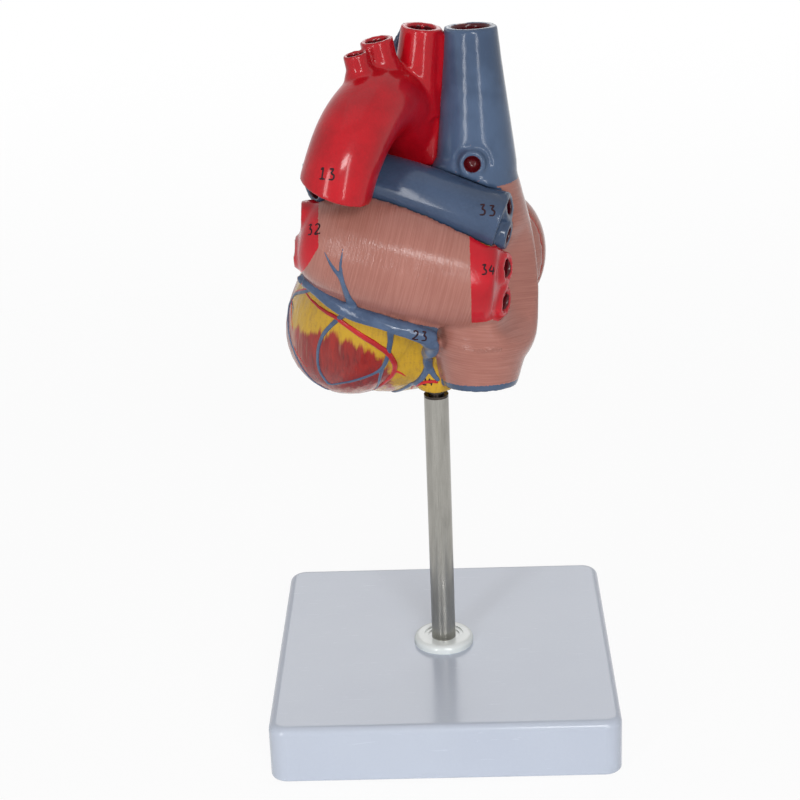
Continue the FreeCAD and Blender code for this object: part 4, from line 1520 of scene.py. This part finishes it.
REAR_ARTERIES = (
    Vessel(((-50.8, 0.0, 46.2), (-47.1, -6.9, 43.9), (-43.0, -11.5, 41.9),
            (-38.0, -15.4, 40.2), (-33.8, -17.3, 37.5), (-29.4, -18.4, 34.3),
            (-24.3, -18.2, 30.6), (-19.0, -15.7, 25.6), (-17.0, -12.4, 21.3),
            (-15.9, -8.4, 16.9), (-16.9, -3.6, 11.9), (-19.1, 0.3, 7.9), (-22.1, 4.6, 3.7),
            (-26.0, 11.0, -0.5)), (0.9, 1.7, 2.5, 3.0, 2.8, 2.3, 1.9, 0.8)),
    Vessel(((-16.3, -4.8, 13.0), (-13.5, -4.1, 11.7), (-11.5, -2.7, 9.5)), (1.5, 1.2, 0.6)),
    Vessel(((-50.4, -16.9, 54.6), (-54.7, 8.1, 43.3), (-56.8, 11.6, 39.0), (-57.5, 10.1, 34.9),
            (-57.2, 7.5, 30.8), (-57.0, 6.7, 26.8)), (1.3, 1.2, 0.6)),
    Vessel(((-57.2, 7.7, 20.8), (-55.4, 6.2, 16.9), (-53.1, 4.9, 13.7), (-51.5, 4.1, 11.8)),
           (0.6, 0.9, 0.5)),
    Vessel(((-10.4, 10.0, -0.5), (-6.3, -5.1, 7.3), (-2.2, -7.8, 9.2), (1.4, -8.0, 9.0)),
           (1.1, 1.5, 1.5)),
)

FRONT_ARTERIES = (
    Vessel(((-31.5, 34.0, 62.0), (-33.5, 37.5, 56.0), (-36.5, 42.5, 47.0), (-43.0, 45.0, 37.0),
            (-46.0, 46.5, 25.0), (-42.5, 47.0, 14.0), (-39.5, 44.0, 6.0), (-37.5, 36.0, -0.5),
            (-34.0, 27.0, -4.0)), (3.0, 2.6, 2.2, 1.8, 1.0)),
    Vessel(((-44.0, 45.2, 34.0), (-50.0, 42.5, 31.0), (-55.5, 37.5, 24.0), (-57.0, 33.0, 17.0)),
           (1.7, 1.4, 0.6)),
    Vessel(((-44.5, 47.0, 19.0), (-50.0, 43.5, 13.0), (-52.0, 37.0, 6.5)), (1.4, 1.1, 0.5)),
    Vessel(((-43.0, 45.8, 35.0), (-36.0, 49.5, 30.0), (-28.0, 53.0, 23.0)), (1.5, 1.1, 0.5)),
    Vessel(((9.0, 31.5, 66.5), (13.5, 36.5, 61.5), (18.5, 40.5, 53.5), (23.5, 40.5, 43.5),
            (28.0, 36.0, 34.5), (32.0, 27.5, 28.0), (31.5, 20.5, 26.0)),
           (2.8, 2.6, 2.3, 2.0, 1.6)),
    Vessel(((20.0, 40.8, 50.5), (13.0, 47.5, 43.0), (7.0, 52.0, 33.0), (3.0, 54.5, 22.0)),
           (1.6, 1.2, 0.5)),
    Vessel(((27.5, 36.8, 35.5), (21.0, 42.5, 24.0), (12.0, 45.0, 13.0), (0.0, 45.0, 5.0)),
           (1.8, 1.4, 0.6)),
)

FRONT_VEINS = (
    Vessel(((-38.0, 37.0, 52.0), (-41.5, 40.5, 44.5), (-47.5, 42.5, 36.0), (-50.0, 43.5, 26.0),
            (-46.5, 44.5, 15.0), (-43.0, 42.0, 6.5), (-41.0, 35.0, 0.5), (-38.0, 26.5, -3.5)),
           (2.6, 2.2, 1.8, 1.0)),
    Vessel(((-49.5, 43.2, 30.0), (-55.0, 39.5, 33.5), (-58.5, 33.0, 33.0), (-60.0, 27.0, 30.0)),
           (1.5, 1.1, 0.5)),
    Vessel(((16.5, 43.0, 52.0), (21.0, 43.5, 42.5), (25.5, 39.0, 32.5), (29.5, 30.5, 25.5),
            (29.0, 20.5, 22.5)), (1.2, 1.9, 2.2, 2.2)),
    Vessel(((20.0, 43.6, 44.5), (12.5, 49.0, 36.0), (8.5, 51.5, 26.0), (7.0, 50.5, 17.0)),
           (1.4, 1.0, 0.5)),
)

NUMBERS = (Number("13", (-36.1, -46.3, 105.8), 4.2, -8.0),
           Number("32", (-43.6, -28.5, 80.0), 4.2, -6.0),
           Number("33", (21.9, -28.8, 85.4), 4.3, -6.0),
           Number("34", (21.7, -34.1, 63.7), 3.9, -4.0),
           Number("23", (-4.4, -33.4, 37.2), 4.0, -10.0), Number("24", (-4.2, -9.5, 9.0), 3.2))


# ---- stand and small parts -----------------------------------------------------------------
@dataclass(frozen=True)
class Flesh:
    """Smooth painted tissue of the small parts inside the chambers."""

    name: str
    colour: Colour
    deep: Colour
    stretch: Place = (1.6, 1.6, 0.25)

    def material(self) -> bpy.types.Material:
        """Makes the material."""
        sheet = Sheet(self.name)
        fibres = sheet.noise(sheet.place(self.stretch), 0.9, 3.0, 0.55, 0.3)
        speck = sheet.noise(sheet.place(), 1.2, 2.0)
        colour = sheet.mix((fibres * 0.7 + speck * 0.3).step(0.36, 0.68), self.colour, self.deep)
        normal = sheet.bump(fibres, 0.12)
        return sheet.finish({"Base Color": colour, "Roughness": speck * 0.15 + 0.28,
                             "Normal": sheet.bump(speck, 0.03, normal),
                             **Lacquer(0.4, 0.14).sockets()})


NODE_FINISHES = {
    "base": Moulded("white_plastic", paint(194, 202, 216), paint(190, 198, 213), 0.20, 0.04),
    "collar": Moulded("collar_plastic", paint(230, 235, 234), paint(222, 227, 226), 0.24, 0.3),
    "foot": Moulded("rubber", paint(52, 52, 56), paint(38, 38, 42), 0.62, 0.0, 0.05),
    "post": Metal("drawn_steel", paint(172, 170, 164), paint(146, 144, 138), 0.30,
                  (2.6, 2.6, 0.04)),
    "plug": Metal("turned_brass", paint(206, 170, 96), paint(150, 116, 60), 0.30,
                  (0.3, 0.3, 3.0)),
    "screw": Metal("zinc_steel", paint(182, 184, 188), paint(128, 130, 134), 0.32,
                   (1.6, 1.6, 1.6)),
    "pin": Metal("dark_pin_steel", paint(92, 84, 78), paint(46, 40, 38), 0.22,
                 (0.25, 0.25, 2.6)),
    "magnet": Metal("nickel_plate", paint(206, 206, 204), paint(158, 158, 156), 0.16,
                    (1.2, 1.2, 1.2), 0.004),
    "muscle": Flesh("papillary_paint", paint(186, 66, 58), paint(138, 36, 34)),
    "valve": Flesh("valve_paint", paint(226, 208, 180), paint(204, 170, 138), (1.2, 1.2, 0.7)),
    "chorda": Flesh("chorda_paint", paint(232, 220, 196), paint(210, 186, 152)),
}


class FittedParts:
    """The solids that keep their own shape and get a finish."""

    def dress(self) -> None:
        """Gives each remaining node the finish of its material slot."""
        slots = {"base_white": "base", "collar_white": "collar", "foot_rubber": "foot",
                 "post_steel": "post", "plug_brass": "plug", "fastener_steel": "screw",
                 "pin_steel": "pin", "socket_brass": "plug", "muscle_red": "muscle",
                 "valve_ivory": "valve", "chorda_ivory": "chorda", "magnet_nickel": "magnet"}
        made = {key: finish.material() for key, finish in NODE_FINISHES.items()}
        for name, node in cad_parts.items():
            slot = node.material_slots[0].material.name.split(".")[0]
            if slot in slots:
                for place in node.material_slots:
                    place.material = made[slots[slot]]
                LOG.info("%s: %s", name, slots[slot])


# ---- studio --------------------------------------------------------------------------------
@dataclass(frozen=True)
class SoftBox:
    """One rectangular studio light."""

    name: str
    place: Place
    aim: Place
    size: tuple[float, float]
    watts: float

    def build(self) -> None:
        """Adds the light."""
        data = bpy.data.lights.new(self.name, "AREA")
        data.shape = "RECTANGLE"
        data.size, data.size_y = self.size
        data.energy = self.watts
        lamp = add_object(self.name, data)
        away = Vector(self.place) - Vector(self.aim)
        lamp.matrix_world = (Matrix.Translation(self.place)
                             @ away.to_track_quat("Z", "Y").to_matrix().to_4x4())


@dataclass
class Studio:
    """A pale sweep, plain soft light and the camera."""

    camera_place: Place = (0.0084, -0.7240, 0.4231)
    yaw: float = -1.83
    pitch: float = 21.65
    roll: float = -2.25
    focal_pixels: float = 1924.0
    image_pixels: float = 800.0
    world_light: float = 0.265
    floor_size: float = 3.0
    floor_whitening: float = 0.93
    floor_fade_from: float = 0.30
    lights: tuple[SoftBox, ...] = (
        SoftBox("left_strip", (-0.52, -0.92, 0.36), (0.0, 0.0, 0.22), (0.16, 0.66), 3.4),
        SoftBox("right_strip", (0.42, -0.98, 0.36), (0.0, 0.0, 0.22), (0.10, 0.66), 2.2),
        SoftBox("front", (0.34, -1.65, 1.00), (0.0, 0.0, 0.15), (0.46, 0.28), 8.6),
        SoftBox("overhead", (0.0, -0.10, 1.30), (0.0, 0.0, 0.1), (0.9, 0.9), 0.7),
        SoftBox("rear", (0.10, 1.10, 0.80), (0.0, 0.0, 0.2), (0.9, 0.6), 3.0),
    )

    def build(self) -> None:
        """Makes the floor, the world, the lights and the camera."""
        self._floor()
        self._world()
        for light in self.lights:
            light.build()
        self._camera()

    def _floor(self) -> None:
        """Adds the pale floor, which shows white to the camera and keeps the shadow."""
        bpy.ops.object.select_all(action="DESELECT")
        bpy.ops.mesh.primitive_plane_add(size=self.floor_size, location=(0.0, 0.0, 0.0))
        floor = bpy.context.object
        floor.name = "floor"
        sheet = Sheet("floor_paper")
        where = sheet.node("ShaderNodeTexCoord").outputs["Object"]
        reach = sheet.node("ShaderNodeVectorMath", {"operation": "LENGTH"}, {0: where})
        far = Value(sheet, reach.outputs["Value"])
        seen = sheet.path("Is Camera Ray", "Is Glossy Ray")
        speck = sheet.noise(sheet.place(), 0.4, 2.0)
        sheet.finish({"Base Color": sheet.mix(speck, paint(242, 242, 243), paint(245, 245, 246)),
                      "Roughness": speck * 0.04 + 0.86})
        white = sheet.node("ShaderNodeEmission", {}, {"Color": (1.0, 1.0, 1.0), "Strength": 1.0})
        blend = sheet.node("ShaderNodeMixShader", {},
                           {0: seen * self.floor_whitening, 1: sheet.shader.outputs[0],
                            2: white.outputs[0]})
        clear = sheet.node("ShaderNodeBsdfTransparent")
        faded = sheet.node("ShaderNodeMixShader", {},
                           {0: far.step(self.floor_fade_from, 0.5 * self.floor_size),
                            1: blend.outputs[0], 2: clear.outputs[0]})
        sheet.plug(sheet.output.inputs["Surface"], faded.outputs[0])
        floor.data.materials.append(sheet.material)

    def _world(self) -> None:
        """Makes the even surrounding light, which is white where the camera sees it."""
        sky = Sky("studio")
        seen = sky.path("Is Camera Ray", "Is Glossy Ray", "Is Transmission Ray")
        strength = sky.node("ShaderNodeMapRange", {}, {"Value": seen, "To Max": 1.0,
                                                       "To Min": self.world_light})
        light = sky.node("ShaderNodeBackground", {}, {"Color": (1.0, 1.0, 1.0),
                                                      "Strength": strength.outputs["Result"]})
        sky.node("ShaderNodeOutputWorld", {}, {"Surface": light.outputs[0]})
        bpy.context.scene.world = sky.world

    def _camera(self) -> None:
        """Adds the camera."""
        yaw, pitch, roll = (math.radians(a) for a in (self.yaw, self.pitch, self.roll))
        ahead = Vector((math.sin(yaw) * math.cos(pitch), math.cos(yaw) * math.cos(pitch),
                        -math.sin(pitch)))
        level = Vector((math.cos(yaw), -math.sin(yaw), 0.0))
        rise = level.cross(ahead)
        right = level * math.cos(roll) + rise * math.sin(roll)
        up = rise * math.cos(roll) - level * math.sin(roll)
        data = bpy.data.cameras.new("camera")
        data.sensor_width = 36.0
        data.lens = self.focal_pixels * data.sensor_width / self.image_pixels
        data.clip_start = 0.01
        camera = add_object("camera", data)
        turned = Matrix((right, up, -ahead)).transposed().to_4x4()
        camera.matrix_world = Matrix.Translation(self.camera_place) @ turned
        bpy.context.scene.camera = camera


# ---- the whole object ----------------------------------------------------------------------
def main() -> None:
    """Builds and dresses every piece, then the studio."""
    logging.basicConfig(level=logging.INFO, format="%(name)s %(message)s")
    scene = bpy.context.scene
    scene.view_settings.view_transform = "Standard"

    heart_paint = HeartPaint("heart_paint").material()
    PaintedHeart(REAR_WALL).build(heart_paint)
    PaintedHeart(FRONT_WALL).build(heart_paint)
    # Each enamel's last colour is the holes' dark red paint, darkened further as painted shade.
    red = Enamel("artery_enamel", paint(192, 14, 30), paint(172, 11, 26), paint(84, 12, 22))
    blue = Enamel("vein_enamel", paint(66, 84, 112), paint(58, 75, 101), paint(70, 10, 20))
    GreatVessel(AORTA).build(red)
    GreatVessel(LUNG_ARTERIES).build(blue)

    rear = Surface((REAR_WALL.piece,))
    front = Surface((FRONT_WALL.piece,))
    vein = Enamel("raised_vein_enamel", paint(84, 104, 134), paint(64, 82, 112),
                  paint(70, 10, 20)).material()
    artery = Enamel("raised_artery_enamel", paint(205, 34, 40), paint(170, 22, 32),
                    paint(84, 12, 22)).material()
    rear_veins = Relief("cardiac_veins_rear", "heart", "painted_heart", rear).build(
        REAR_VEINS, vein)
    Relief("coronary_arteries_rear", "heart", "painted_heart", rear).build(REAR_ARTERIES, artery)
    Relief("cardiac_veins_front", "front", "painted_heart", front).build(FRONT_VEINS, vein)
    Relief("coronary_arteries_front", "front", "painted_heart", front).build(FRONT_ARTERIES,
                                                                             artery)
    everywhere = Surface((REAR_WALL.piece, AORTA.piece, LUNG_ARTERIES.piece, rear_veins))
    strokes = tuple(s for number in NUMBERS for s in number.strokes(everywhere))
    Relief("index_numbers", "heart", "painted_heart", everywhere, 0.11, 0.25, 0.22, 8).build(
        strokes, Ink().material())

    FittedParts().dress()
    Studio().build()


if __name__ == "__main__":
    main()
